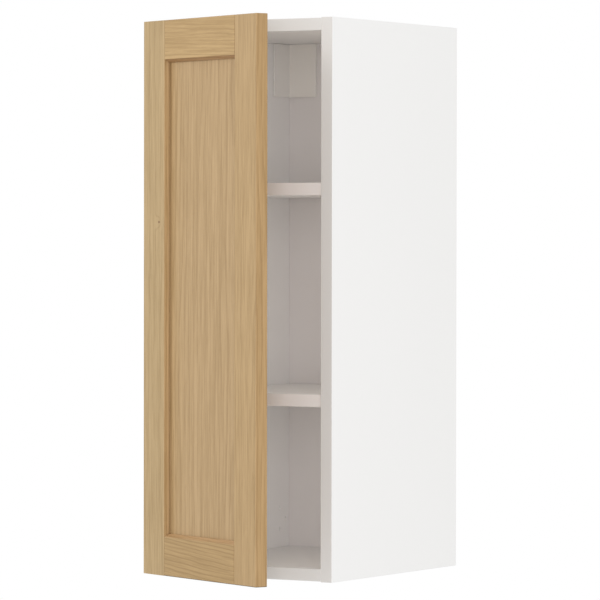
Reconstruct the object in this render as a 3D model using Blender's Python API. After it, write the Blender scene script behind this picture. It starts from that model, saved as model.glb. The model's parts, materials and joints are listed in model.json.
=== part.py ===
"""Hanging wall cabinet: a tall narrow carcass in white board with two shelves and a framed oak door.

Frame: origin at the centre of the bottom board's underside, +Z up, the wall at +Y, the door at -Y.
The door stands a little open. Its hinges are at the left.
"""

import math

import bmesh
import bpy
from mathutils import Matrix, Vector

SEAT = 0.0003  # gap left between two pieces that touch
OVERRUN = 0.002  # a cutter goes this far past the face that it opens
LAP = 0.001  # how far two shapes joined into one solid reach into each other
SCREW_TIP_ROOM = 0.001  # free depth under a screw's tip
SMOOTH_ANGLE = 35.0  # degrees; round faces meeting at less are shaded smooth
SMALL_ROUND = 12  # flats round a small hole, pin or screw
MIDDLE_ROUND = 16
LARGE_ROUND = 32

# Carcass
WIDTH = 0.300
DEPTH = 0.370
HEIGHT = 0.800
BOARD = 0.018
CAP_INSET = 0.001  # the top and bottom boards sit in from the side boards' ends by this much
BACK_THICKNESS = 0.003
BACK_SETBACK = 0.0124  # wall plane to the back panel's front face
GROOVE_DEPTH = 0.007

# Shelves and the pins under them
SHELF_THICKNESS = 0.018
SHELF_SHARES = {"lower": 0.30875, "upper": 0.68375}  # undersides, as shares of the cabinet's height
SHELF_SIDE_GAP = 0.001
SHELF_FRONT_SETBACK = 0.003
SHELF_REAR_GAP = 0.002
SYSTEM_PITCH = 0.032
SYSTEM_FRONT_LINE = 0.037  # board's front edge to the first line of holes
SYSTEM_REAR_KEEP = 0.090  # the rear line of holes stays this far from the wall plane
SYSTEM_HOLE_RADIUS = 0.0025
SYSTEM_HOLE_DEPTH = 0.013
PIN_STEM_LENGTH = 0.008
PIN_HEAD_RADIUS = 0.0035
PIN_HEAD_LENGTH = 0.0095

# Dowels in the corner joints
DOWEL_RADIUS = 0.004
DOWEL_IN_SIDE = 0.012
DOWEL_IN_CAP = 0.022
DOWEL_FROM_EDGE = 0.060

# Door
DOOR_THICKNESS = 0.019
DOOR_GAP = 0.002  # closed door to the carcass
DOOR_REVEAL = 0.0015  # the door is this much smaller than the carcass on each side
DOOR_LIFT = 0.0008  # hung this far above the middle
STILE_WIDTH = 0.056
RAIL_WIDTH = 0.056
RAIL_SLOPE = 0.0045  # a rail's inner edge slopes this much from its front down to the panel
RAIL_LAND = 0.001  # flat left between the slope and the panel's groove
DOOR_PANEL_THICKNESS = 0.006
DOOR_BACK_LIP = 0.0035  # frame behind the panel
DOOR_GROOVE_DEPTH = 0.010
DOOR_TONGUE = 0.009  # how far a panel edge or a tenon reaches into a groove
DOOR_OPEN_AT_REST = 25.8  # degrees
BUMPER_RADIUS = 0.004
BUMPER_FROM_EDGE = 0.010

# Hinges, in plan measured from the carcass's left side and front plane
PIVOT_FROM_SIDE = 0.0058
PIVOT_AHEAD = 0.0075
HINGE_FROM_END = 0.100
CUP_RADIUS = 0.0172
CUP_WALL = 0.0012
CUP_DEPTH = 0.0122
CUP_FROM_DOOR_EDGE = 0.0225
FLANGE_THICKNESS = 0.001
FLANGE_HALF_WIDTH = 0.019
FLANGE_HALF_HEIGHT = 0.0285
FLANGE_CORNER = 0.006
FLANGE_CORNER_STEPS = 4
CUP_SCREW_OFFSET = 0.0095
CUP_SCREW_HALF_PITCH = 0.0225
OUTER_PIN = (0.0105, 0.0040)  # from the door's edge, and below the door's back
INNER_PIN = (0.0098, 0.0073)
LINK_PIN_RADIUS = 0.001
LINK_EYE_RADIUS = 0.002
LINK_THICKNESS = 0.0018
LINK_WIDTH = 0.005
LINK_LEAD = 0.005  # straight run from the eye to the bend
LINK_START = -20.0  # heading of that run in degrees, from +X towards +Y
LINK_BENDS = {"outer": 0.008, "inner": 0.010}  # bend radii
LINK_BEND_STEPS = 8
LINK_TAIL = 0.0125
PLATE_THICKNESS = 0.003
PLATE_HALF_WIDTH = 0.009
PLATE_FRONT = 0.018
PLATE_REAR = 0.060
PLATE_WING_HALF_WIDTH = 0.006
PLATE_WING_REACH = 0.0235
ARM_HALF_WIDTH = 0.0095
ARM_WALL = 0.0015
ARM_RISE = 0.012  # from the plate to the arm's top
ARM_FRONT = 0.0015
ARM_REAR = 0.064
ARM_SCREW_AT = 0.050
SCREW_RADIUS = 0.0022
SCREW_LENGTH = 0.011
SCREW_HEAD_RADIUS = 0.0042
SCREW_HEAD_HEIGHT = 0.002
CUP_SCREW_HEAD_RADIUS = 0.00357
CUP_SCREW_HEAD_HEIGHT = 0.0014

# Hanging brackets in the upper rear corners, with their covers
BRACKET_STEEL = 0.0015
BRACKET_HEIGHT = 0.064
BRACKET_BELOW_TOP = 0.005
BRACKET_SIDE_LEG = 0.0425  # wall plane to its front end, less the steel at the back
BRACKET_BACK_LEG = 0.038
BRACKET_HOLE_FROM_WALL = 0.041
BRACKET_PEG_HOLE_FROM_WALL = 0.024
BRACKET_HOLES_FROM_END = 0.0625  # middle of the pair of screw holes to the side board's end
BOLT_RADIUS = 0.004
BOLT_HEAD_RADIUS = 0.0075
BOLT_HEAD_HEIGHT = 0.005
BOLT_FROM_SIDE = 0.025
COVER_HEIGHT = 0.080
COVER_WALL = 0.0011
COVER_SIDE_LEG = 0.0495
COVER_BACK_LEG = 0.0485
COVER_PROUD_OF_SIDE = 0.0034
COVER_PROUD_OF_BACK = 0.0055
NOTCH_MARGIN = 0.006  # opening in the back panel beyond the bracket

# Places worked out from the sizes
FRONT = -DEPTH / 2
WALL = DEPTH / 2
SIDE_IN = WIDTH / 2 - BOARD
SIDE_LOW = -CAP_INSET
SIDE_HIGH = HEIGHT - CAP_INSET
CEILING = HEIGHT - 2 * CAP_INSET - BOARD
SHELF_HEIGHTS = {level: share * HEIGHT for level, share in SHELF_SHARES.items()}
BACK_FACE = WALL - BACK_SETBACK
BACK_REAR = BACK_FACE + BACK_THICKNESS
SYSTEM_STEPS = math.floor((DEPTH - SYSTEM_REAR_KEEP - SYSTEM_FRONT_LINE) / SYSTEM_PITCH)
PIN_LINES = {
    "front": FRONT + SYSTEM_FRONT_LINE,
    "rear": FRONT + SYSTEM_FRONT_LINE + SYSTEM_STEPS * SYSTEM_PITCH,
}
PIN_DROP = SEAT + PIN_HEAD_RADIUS
HINGE_HEIGHTS = {"lower": SIDE_LOW + HINGE_FROM_END, "upper": SIDE_HIGH - HINGE_FROM_END}
DOOR_X = WIDTH / 2 - DOOR_REVEAL
DOOR_BACK = FRONT - DOOR_GAP
DOOR_FACE = DOOR_BACK - DOOR_THICKNESS
DOOR_LOW = SIDE_LOW + DOOR_REVEAL + DOOR_LIFT
DOOR_HIGH = SIDE_HIGH - DOOR_REVEAL + DOOR_LIFT
PANEL_BACK = DOOR_BACK - DOOR_BACK_LIP
PANEL_FACE = PANEL_BACK - DOOR_PANEL_THICKNESS
PIVOT = Vector((-WIDTH / 2 + PIVOT_FROM_SIDE, FRONT - PIVOT_AHEAD, 0))
SIDES = {"left": -1, "right": 1}
OPEN = math.radians(DOOR_OPEN_AT_REST)


def clear_scene():
    for obj in list(bpy.data.objects):
        bpy.data.objects.remove(obj, do_unlink=True)


def finish(name, colour, roughness, metallic=0.0):
    """A material with one Principled shader."""
    material = bpy.data.materials.new(name)
    material.use_nodes = True
    shader = material.node_tree.nodes["Principled BSDF"]
    shader.inputs["Base Color"].default_value = (*colour, 1)
    shader.inputs["Roughness"].default_value = roughness
    shader.inputs["Metallic"].default_value = metallic
    material.diffuse_color = (*colour, 1)
    return material


def place(name, mesh, at, material=None, parent=None):
    obj = bpy.data.objects.new(name, mesh)
    bpy.context.scene.collection.objects.link(obj)
    obj.location = at
    if parent:
        obj.parent = parent
    if material:
        mesh.materials.append(material)
    return obj


def mesh_from(bm, name):
    bmesh.ops.recalc_face_normals(bm, faces=bm.faces)
    mesh = bpy.data.meshes.new(name)
    bm.to_mesh(mesh)
    bm.free()
    return mesh


def add_box(bm, low, high):
    size = Vector(high) - Vector(low)
    middle = (Vector(high) + Vector(low)) / 2
    bmesh.ops.create_cube(bm, size=1, matrix=Matrix.Translation(middle) @ Matrix.Diagonal((*size, 1)))


def add_rod(bm, start, end, radius, segments=MIDDLE_ROUND):
    """A closed cylinder between two points."""
    along = Vector(end) - Vector(start)
    turn = along.to_track_quat("Z", "Y").to_matrix().to_4x4()
    middle = Matrix.Translation((Vector(start) + Vector(end)) / 2)
    bmesh.ops.create_cone(
        bm,
        cap_ends=True,
        segments=segments,
        radius1=radius,
        radius2=radius,
        depth=along.length,
        matrix=middle @ turn,
    )


def box(name, low, high, material, parent=None, origin=None):
    """A box between two corners. Its origin is its middle unless one is given."""
    at = Vector(origin) if origin is not None else (Vector(low) + Vector(high)) / 2
    bm = bmesh.new()
    add_box(bm, Vector(low) - at, Vector(high) - at)
    return place(name, mesh_from(bm, name), at, material, parent)


def smooth(mesh):
    mesh.shade_smooth()
    mesh.set_sharp_from_angle(angle=math.radians(SMOOTH_ANGLE))


def rods(name, runs, material=None, parent=None, at=(0, 0, 0), segments=MIDDLE_ROUND):
    """One solid turned from rods end to end: runs are (start, end, radius), each a little into the next."""
    solid = None
    for number, (start, end, radius) in enumerate(runs):
        bm = bmesh.new()
        add_rod(bm, start, end, radius, segments)
        if number == 0:
            solid = place(name, mesh_from(bm, name), at, material, parent)
            continue
        helper = place(f"{name}_run_{number}", mesh_from(bm, f"{name}_run_{number}"), at, None, parent)
        boolean(solid, helper, "UNION")
    smooth(solid.data)
    return solid


def boolean(target, helper, operation):
    helper.hide_render = True
    helper.display_type = "WIRE"
    modifier = target.modifiers.new(helper.name, "BOOLEAN")
    modifier.operation = operation
    modifier.solver = "EXACT"
    modifier.object = helper


def cutter(name, shapes, parent=None):
    """A hidden helper: shapes are ("box", low, high) or ("rod", start, end, radius[, segments])."""
    bm = bmesh.new()
    for kind, *sizes in shapes:
        if kind == "box":
            add_box(bm, *sizes)
        else:
            add_rod(bm, *sizes)
    return place(name, mesh_from(bm, name), (0, 0, 0), None, parent)


def extrusion(name, outline, low, high, axis, material, parent=None, at=(0, 0, 0)):
    """A flat outline pushed along X, Y or Z from low to high."""
    bm = bmesh.new()
    order = {"X": (2, 0, 1), "Y": (0, 2, 1), "Z": (0, 1, 2)}[axis]
    corners = []
    for a, b in outline:
        flat = (a, b, low)
        corners.append(bm.verts.new([flat[i] for i in order]))
    face = bm.faces.new(corners)
    push = [0, 0, 0]
    push["XYZ".index(axis)] = high - low
    moved = bmesh.ops.extrude_face_region(bm, geom=[face])["geom"]
    bmesh.ops.translate(bm, verts=[v for v in moved if isinstance(v, bmesh.types.BMVert)], vec=push)
    return place(name, mesh_from(bm, name), at, material, parent)


def side_board_holes(sign):
    """Every blind hole in a side board's inner face, and the back panel's groove."""
    face = sign * SIDE_IN
    into = face + sign * SYSTEM_HOLE_DEPTH
    outside = face - sign * OVERRUN
    spots = []
    for height in SHELF_HEIGHTS.values():
        for line in PIN_LINES.values():
            spots.append((line, height - PIN_DROP))
    for height in HINGE_HEIGHTS.values():
        for step in (-SYSTEM_PITCH / 2, SYSTEM_PITCH / 2):
            spots.append((PIN_LINES["front"], height + step))
    for middle in (SIDE_LOW + BRACKET_HOLES_FROM_END, SIDE_HIGH - BRACKET_HOLES_FROM_END):
        for step in (-SYSTEM_PITCH / 2, SYSTEM_PITCH / 2):
            spots.append((WALL - BRACKET_HOLE_FROM_WALL, middle + step))
        spots.append((WALL - BRACKET_PEG_HOLE_FROM_WALL, middle))
    shapes = []
    for y, z in spots:
        shapes.append(("rod", (outside, y, z), (into, y, z), SYSTEM_HOLE_RADIUS, SMALL_ROUND))
    dowel_end = face + sign * (DOWEL_IN_SIDE + SEAT)
    for y, z in dowel_spots():
        shapes.append(("rod", (outside, y, z), (dowel_end, y, z), DOWEL_RADIUS + SEAT, SMALL_ROUND))
    lows = (min(outside, face + sign * GROOVE_DEPTH), BACK_FACE - SEAT, SIDE_LOW - OVERRUN)
    highs = (max(outside, face + sign * GROOVE_DEPTH), BACK_REAR + SEAT, SIDE_HIGH + OVERRUN)
    shapes.append(("box", lows, highs))
    return shapes


def dowel_spots():
    heights = (BOARD / 2, CEILING + BOARD / 2)
    return [(y, z) for z in heights for y in (FRONT + DOWEL_FROM_EDGE, WALL - DOWEL_FROM_EDGE)]


def carcass(white, hardboard, beech):
    for side, sign in SIDES.items():
        xs = sorted((sign * SIDE_IN, sign * WIDTH / 2))
        board = box(f"side_panel_{side}", (xs[0], FRONT, SIDE_LOW), (xs[1], WALL, SIDE_HIGH), white)
        boolean(board, cutter(f"side_holes_{side}", side_board_holes(sign)), "DIFFERENCE")

    reach = SIDE_IN - SEAT
    for name, low in (("bottom", 0.0), ("top", CEILING)):
        board = box(f"{name}_panel", (-reach, FRONT, low), (reach, WALL, low + BOARD), white)
        inner = low + BOARD if name == "bottom" else low
        inward = -1 if name == "bottom" else 1
        depth = sorted((inner - inward * OVERRUN, inner + inward * GROOVE_DEPTH))
        shapes = [("box", (-SIDE_IN, BACK_FACE - SEAT, depth[0]), (SIDE_IN, BACK_REAR + SEAT, depth[1]))]
        for y, z in dowel_spots():
            if abs(z - (low + BOARD / 2)) < BOARD / 2:
                for sign in SIDES.values():
                    outer = (sign * (SIDE_IN + OVERRUN), y, z)
                    inside = (sign * (SIDE_IN - DOWEL_IN_CAP - SEAT), y, z)
                    shapes.append(("rod", outer, inside, DOWEL_RADIUS + SEAT, SMALL_ROUND))
        boolean(board, cutter(f"{name}_holes", shapes), "DIFFERENCE")

    tongue = GROOVE_DEPTH - SEAT
    x = SIDE_IN + tongue
    low = BOARD - tongue
    high = CEILING + tongue
    notch_x = SIDE_IN - BRACKET_BACK_LEG - NOTCH_MARGIN
    notch_z = CEILING - BRACKET_BELOW_TOP - BRACKET_HEIGHT - NOTCH_MARGIN
    outline = [(-x, low), (x, low), (x, notch_z), (notch_x, notch_z), (notch_x, high)]
    outline += [(-notch_x, high), (-notch_x, notch_z), (-x, notch_z)]
    extrusion("back_panel", outline, BACK_FACE, BACK_REAR, "Y", hardboard)

    for place_name, (y, z) in zip(
        ("bottom_front", "bottom_rear", "top_front", "top_rear"), dowel_spots(), strict=True
    ):
        for side, sign in SIDES.items():
            start = (sign * (SIDE_IN + DOWEL_IN_SIDE), y, z)
            end = (sign * (SIDE_IN - DOWEL_IN_CAP), y, z)
            rods(f"dowel_{place_name}_{side}", [(start, end, DOWEL_RADIUS)], beech, segments=SMALL_ROUND)


def shelves(white, steel):
    half = SIDE_IN - SHELF_SIDE_GAP
    near = FRONT + SHELF_FRONT_SETBACK
    far = BACK_FACE - SHELF_REAR_GAP
    for level, height in SHELF_HEIGHTS.items():
        box(f"shelf_{level}", (-half, near, height), (half, far, height + SHELF_THICKNESS), white)
        for side, sign in SIDES.items():
            for line_name, line in PIN_LINES.items():
                at = (sign * SIDE_IN, line, height - PIN_DROP)
                stem = ((sign * PIN_STEM_LENGTH, 0, 0), (-sign * LAP, 0, 0), SYSTEM_HOLE_RADIUS - SEAT)
                head = ((-sign * SEAT, 0, 0), (-sign * PIN_HEAD_LENGTH, 0, 0), PIN_HEAD_RADIUS)
                name = f"shelf_pin_{level}_{side}_{line_name}"
                rods(name, [head, stem], steel, at=at, segments=SMALL_ROUND)


def door_frame(oak, hinge_axis):
    """Two full-height stiles, two rails with stub tenons between them, and the panel in their grooves."""
    groove = (PANEL_FACE - SEAT, PANEL_BACK + SEAT)
    local = -PIVOT
    for name, sign in (("hinge", -1), ("free", 1)):
        inner = sign * (DOOR_X - STILE_WIDTH)
        xs = sorted((inner, sign * DOOR_X))
        low = Vector((xs[0], DOOR_FACE, DOOR_LOW)) + local
        high = Vector((xs[1], DOOR_BACK, DOOR_HIGH)) + local
        stile = box(f"door_stile_{name}", low, high, oak, hinge_axis, origin=(0, 0, 0))
        cut_x = sorted((inner - sign * OVERRUN, inner + sign * DOOR_GROOVE_DEPTH))
        shapes = [
            (
                "box",
                Vector((cut_x[0], groove[0], DOOR_LOW - OVERRUN)) + local,
                Vector((cut_x[1], groove[1], DOOR_HIGH + OVERRUN)) + local,
            )
        ]
        if name == "hinge":
            for height in HINGE_HEIGHTS.values():
                shapes += cup_holes(height)
        boolean(stile, cutter(f"stile_cuts_{name}", shapes, hinge_axis), "DIFFERENCE")

    rail_x = DOOR_X - STILE_WIDTH - SEAT
    tenon_x = rail_x + DOOR_TONGUE
    for name, edge, sign in (("bottom", DOOR_LOW, 1), ("top", DOOR_HIGH, -1)):
        front_inner = edge + sign * RAIL_WIDTH
        inner = front_inner + sign * RAIL_SLOPE
        section = [
            (DOOR_FACE, edge),
            (DOOR_FACE, front_inner),
            (groove[0] - RAIL_LAND, inner),
            (DOOR_BACK, inner),
            (DOOR_BACK, edge),
        ]
        section = [(y + local.y, z + local.z) for y, z in section]
        ends = (local.x - rail_x, local.x + rail_x)
        rail = extrusion(f"door_rail_{name}", section, *ends, "X", oak, hinge_axis)
        cut_z = sorted((inner + sign * OVERRUN, inner - sign * DOOR_GROOVE_DEPTH))
        cut = (
            "box",
            Vector((-DOOR_X, groove[0], cut_z[0])) + local,
            Vector((DOOR_X, groove[1], cut_z[1])) + local,
        )
        boolean(rail, cutter(f"rail_cuts_{name}", [cut], hinge_axis), "DIFFERENCE")
        tenon_z = sorted((edge, inner - sign * (DOOR_GROOVE_DEPTH + SEAT)))
        tenon = (
            "box",
            Vector((-tenon_x, PANEL_FACE, tenon_z[0])) + local,
            Vector((tenon_x, PANEL_BACK, tenon_z[1])) + local,
        )
        boolean(rail, cutter(f"rail_tenons_{name}", [tenon], hinge_axis), "UNION")

    panel_x = DOOR_X - STILE_WIDTH + DOOR_TONGUE
    panel_inset = RAIL_WIDTH + RAIL_SLOPE - DOOR_TONGUE
    low = Vector((-panel_x, PANEL_FACE, DOOR_LOW + panel_inset)) + local
    high = Vector((panel_x, PANEL_BACK, DOOR_HIGH - panel_inset)) + local
    box("door_panel", low, high, oak, hinge_axis, origin=(0, 0, 0))


def cup_centre(height):
    """In the door's own frame: at the hinge axis, the door closed."""
    return Vector((-DOOR_X + CUP_FROM_DOOR_EDGE, DOOR_BACK, height)) - PIVOT


def cup_holes(height):
    """The bore for a hinge cup and the pilot holes of its two screws."""
    centre = cup_centre(height)
    out = Vector((0, OVERRUN, 0))
    down = Vector((0, -CUP_DEPTH - SEAT, 0))
    shapes = [("rod", centre + out, centre + down, CUP_RADIUS + SEAT, LARGE_ROUND)]
    for sign in (-1, 1):
        spot = centre + Vector((CUP_SCREW_OFFSET, 0, sign * CUP_SCREW_HALF_PITCH))
        depth = Vector((0, -SCREW_LENGTH - SCREW_TIP_ROOM, 0))
        shapes.append(("rod", spot + out, spot + depth, SCREW_RADIUS + SEAT, SMALL_ROUND))
    return shapes


def hinge_cup(level, height, zinc, steel, hinge_axis):
    """A round cup under a flange, with the two pins that carry the links, and its two screws."""
    centre = cup_centre(height)
    top = SEAT + FLANGE_THICKNESS
    outline = []
    corner = FLANGE_CORNER
    for qx, qz, start in ((1, 1, 0), (-1, 1, 90), (-1, -1, 180), (1, -1, 270)):
        for step in range(FLANGE_CORNER_STEPS + 1):
            turn = math.radians(start + 90 * step / FLANGE_CORNER_STEPS)
            x = qx * (FLANGE_HALF_WIDTH - corner) + corner * math.cos(turn)
            z = qz * (FLANGE_HALF_HEIGHT - corner) + corner * math.sin(turn)
            outline.append((x, z))
    cup = extrusion(f"hinge_cup_{level}", outline, SEAT, top, "Y", zinc, hinge_axis, centre)

    bowl = cutter(
        f"cup_bowl_{level}",
        [("rod", (0, top - FLANGE_THICKNESS / 2, 0), (0, -CUP_DEPTH, 0), CUP_RADIUS, LARGE_ROUND)],
        hinge_axis,
    )
    bowl.location = centre
    boolean(cup, bowl, "UNION")

    floor = (0, -CUP_DEPTH + CUP_WALL, 0)
    holes = [("rod", (0, top + OVERRUN, 0), floor, CUP_RADIUS - CUP_WALL, LARGE_ROUND)]
    for sign in (-1, 1):
        spot = Vector((CUP_SCREW_OFFSET, 0, sign * CUP_SCREW_HALF_PITCH))
        start = spot + Vector((0, top + OVERRUN, 0))
        end = spot - Vector((0, OVERRUN, 0))
        holes.append(("rod", start, end, SCREW_RADIUS + SEAT, SMALL_ROUND))
    hollow = cutter(f"cup_hollow_{level}", holes, hinge_axis)
    hollow.location = centre
    boolean(cup, hollow, "DIFFERENCE")

    for name, (from_edge, deep), sign in (("outer", OUTER_PIN, 1), ("inner", INNER_PIN, -1)):
        x = from_edge - CUP_FROM_DOOR_EDGE
        wall_middle = CUP_RADIUS - CUP_WALL / 2
        reach = math.sqrt(wall_middle**2 - x**2)
        pin = ("rod", (x, -deep, sign * SEAT), (x, -deep, sign * reach), LINK_PIN_RADIUS, SMALL_ROUND)
        helper = cutter(f"cup_pin_{name}_{level}", [pin], hinge_axis)
        helper.location = centre
        boolean(cup, helper, "UNION")
    smooth(cup.data)

    for name, sign in (("low", -1), ("high", 1)):
        at = centre + Vector((CUP_SCREW_OFFSET, top + SEAT, sign * CUP_SCREW_HALF_PITCH))
        head = ((0, 0, 0), (0, CUP_SCREW_HEAD_HEIGHT, 0), CUP_SCREW_HEAD_RADIUS)
        shank = ((0, LAP, 0), (0, -SCREW_LENGTH, 0), SCREW_RADIUS)
        rods(f"cup_screw_{level}_{name}", [head, shank], steel, hinge_axis, at, SMALL_ROUND)


def link_outline(bend_radius):
    """A strip that leaves the eye, bends round to +Y and ends in a straight tail."""
    half = LINK_THICKNESS / 2
    heading = math.radians(LINK_START)
    point = Vector((math.cos(heading), math.sin(heading))) * LINK_LEAD
    path = [(Vector((0, 0)), heading), (point, heading)]
    middle = point + bend_radius * Vector((-math.sin(heading), math.cos(heading)))
    for step in range(1, LINK_BEND_STEPS + 1):
        turn = heading + (math.pi / 2 - heading) * step / LINK_BEND_STEPS
        path.append((middle + bend_radius * Vector((math.sin(turn), -math.cos(turn))), turn))
    path.append((path[-1][0] + Vector((0, LINK_TAIL)), math.pi / 2))
    right = []
    left = []
    for point, turn in path:
        across = Vector((-math.sin(turn), math.cos(turn))) * half
        right.append(tuple(point - across))
        left.append(tuple(point + across))
    return right + left[::-1]


def hinge_links(level, height, steel, hinge_axis):
    """Two bent links side by side. Each turns on its pin in the cup and runs back into the arm."""
    for name, (from_edge, deep), sign in (("outer", OUTER_PIN, 1), ("inner", INNER_PIN, -1)):
        pin = Vector((-DOOR_X + from_edge, DOOR_BACK - deep, height)) - PIVOT
        pivot = bpy.data.objects.new(f"link_axis_{name}_{level}", None)
        bpy.context.scene.collection.objects.link(pivot)
        pivot.parent = hinge_axis
        pivot.location = pin
        pivot.rotation_euler.z = OPEN
        zs = sorted((sign * 2 * SEAT, sign * (2 * SEAT + LINK_WIDTH)))
        outline = link_outline(LINK_BENDS[name])
        link = extrusion(f"hinge_link_{name}_{level}", outline, zs[0], zs[1], "Z", steel, pivot)
        eye = cutter(
            f"link_eye_{name}_{level}", [("rod", (0, 0, zs[0]), (0, 0, zs[1]), LINK_EYE_RADIUS)], pivot
        )
        boolean(link, eye, "UNION")
        ends = (zs[0] - OVERRUN, zs[1] + OVERRUN)
        bore = cutter(
            f"link_bore_{name}_{level}",
            [("rod", (0, 0, ends[0]), (0, 0, ends[1]), LINK_PIN_RADIUS + SEAT)],
            pivot,
        )
        boolean(link, bore, "DIFFERENCE")
        smooth(link.data)


def hinge_mount(level, height, zinc, steel):
    """The plate on the side board, the arm clamped over it, and their screws."""
    face = -SIDE_IN + SEAT
    base_top = face + PLATE_THICKNESS
    arm_low = base_top + SEAT
    arm_top = arm_low + ARM_RISE
    spine_top = arm_top - ARM_WALL - SEAT
    at = Vector((0, FRONT, height))
    plate = box(
        f"hinge_plate_{level}",
        at + Vector((face, PLATE_FRONT, -PLATE_HALF_WIDTH)),
        at + Vector((base_top, PLATE_REAR, PLATE_HALF_WIDTH)),
        zinc,
    )
    line = SYSTEM_FRONT_LINE
    wings = (
        "box",
        at + Vector((face, line - PLATE_WING_HALF_WIDTH, -PLATE_WING_REACH)),
        at + Vector((base_top, line + PLATE_WING_HALF_WIDTH, PLATE_WING_REACH)),
    )
    boolean(plate, cutter(f"plate_wings_{level}", [wings]), "UNION")
    spine_half = ARM_HALF_WIDTH - ARM_WALL - SEAT
    spine = (
        "box",
        at + Vector((face, PLATE_FRONT, -spine_half)),
        at + Vector((spine_top, PLATE_REAR, spine_half)),
    )
    boolean(plate, cutter(f"plate_spine_{level}", [spine]), "UNION")
    hole = SCREW_RADIUS + SEAT
    holes = []
    for sign in (-1, 1):
        z = sign * SYSTEM_PITCH / 2
        start = at + Vector((face - OVERRUN, line, z))
        end = at + Vector((base_top + OVERRUN, line, z))
        holes.append(("rod", start, end, hole, SMALL_ROUND))
    screw_end = arm_top - SCREW_LENGTH + LAP
    holes.append(
        (
            "rod",
            at + Vector((screw_end - SCREW_TIP_ROOM, ARM_SCREW_AT, 0)),
            at + Vector((spine_top + OVERRUN, ARM_SCREW_AT, 0)),
            hole,
            SMALL_ROUND,
        )
    )
    boolean(plate, cutter(f"plate_holes_{level}", holes), "DIFFERENCE")

    half = ARM_HALF_WIDTH
    inner = half - ARM_WALL
    outline = [(arm_low, -half), (arm_top, -half), (arm_top, half), (arm_low, half)]
    web_low = arm_top - ARM_WALL
    outline += [(arm_low, inner), (web_low, inner), (web_low, -inner), (arm_low, -inner)]
    arm = extrusion(f"hinge_arm_{level}", outline, ARM_FRONT, ARM_REAR, "Y", zinc, None, at)
    web_hole = (
        "rod",
        at + Vector((web_low - OVERRUN, ARM_SCREW_AT, 0)),
        at + Vector((arm_top + OVERRUN, ARM_SCREW_AT, 0)),
        hole,
        SMALL_ROUND,
    )
    boolean(arm, cutter(f"arm_hole_{level}", [web_hole]), "DIFFERENCE")

    head_top = SEAT + SCREW_HEAD_HEIGHT
    screw_at = at + Vector((arm_top, ARM_SCREW_AT, 0))
    head = ((SEAT, 0, 0), (head_top, 0, 0), SCREW_HEAD_RADIUS)
    shank = ((LAP, 0, 0), (-SCREW_LENGTH + LAP, 0, 0), SCREW_RADIUS)
    rods(f"arm_screw_{level}", [head, shank], steel, at=screw_at, segments=SMALL_ROUND)
    for name, sign in (("low", -1), ("high", 1)):
        screw_at = at + Vector((base_top, line, sign * SYSTEM_PITCH / 2))
        rods(f"plate_screw_{level}_{name}", [head, shank], steel, at=screw_at, segments=SMALL_ROUND)


def bumpers(silicone, hinge_axis):
    """Soft pads behind the door's free corners, in the gap that the closed door keeps."""
    for name, z in (("low", DOOR_LOW + BUMPER_FROM_EDGE), ("high", DOOR_HIGH - BUMPER_FROM_EDGE)):
        at = Vector((DOOR_X - BUMPER_FROM_EDGE, DOOR_BACK, z)) - PIVOT
        run = ((0, SEAT, 0), (0, DOOR_GAP - SEAT, 0), BUMPER_RADIUS)
        rods(f"door_bumper_{name}", [run], silicone, hinge_axis, at)


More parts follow.
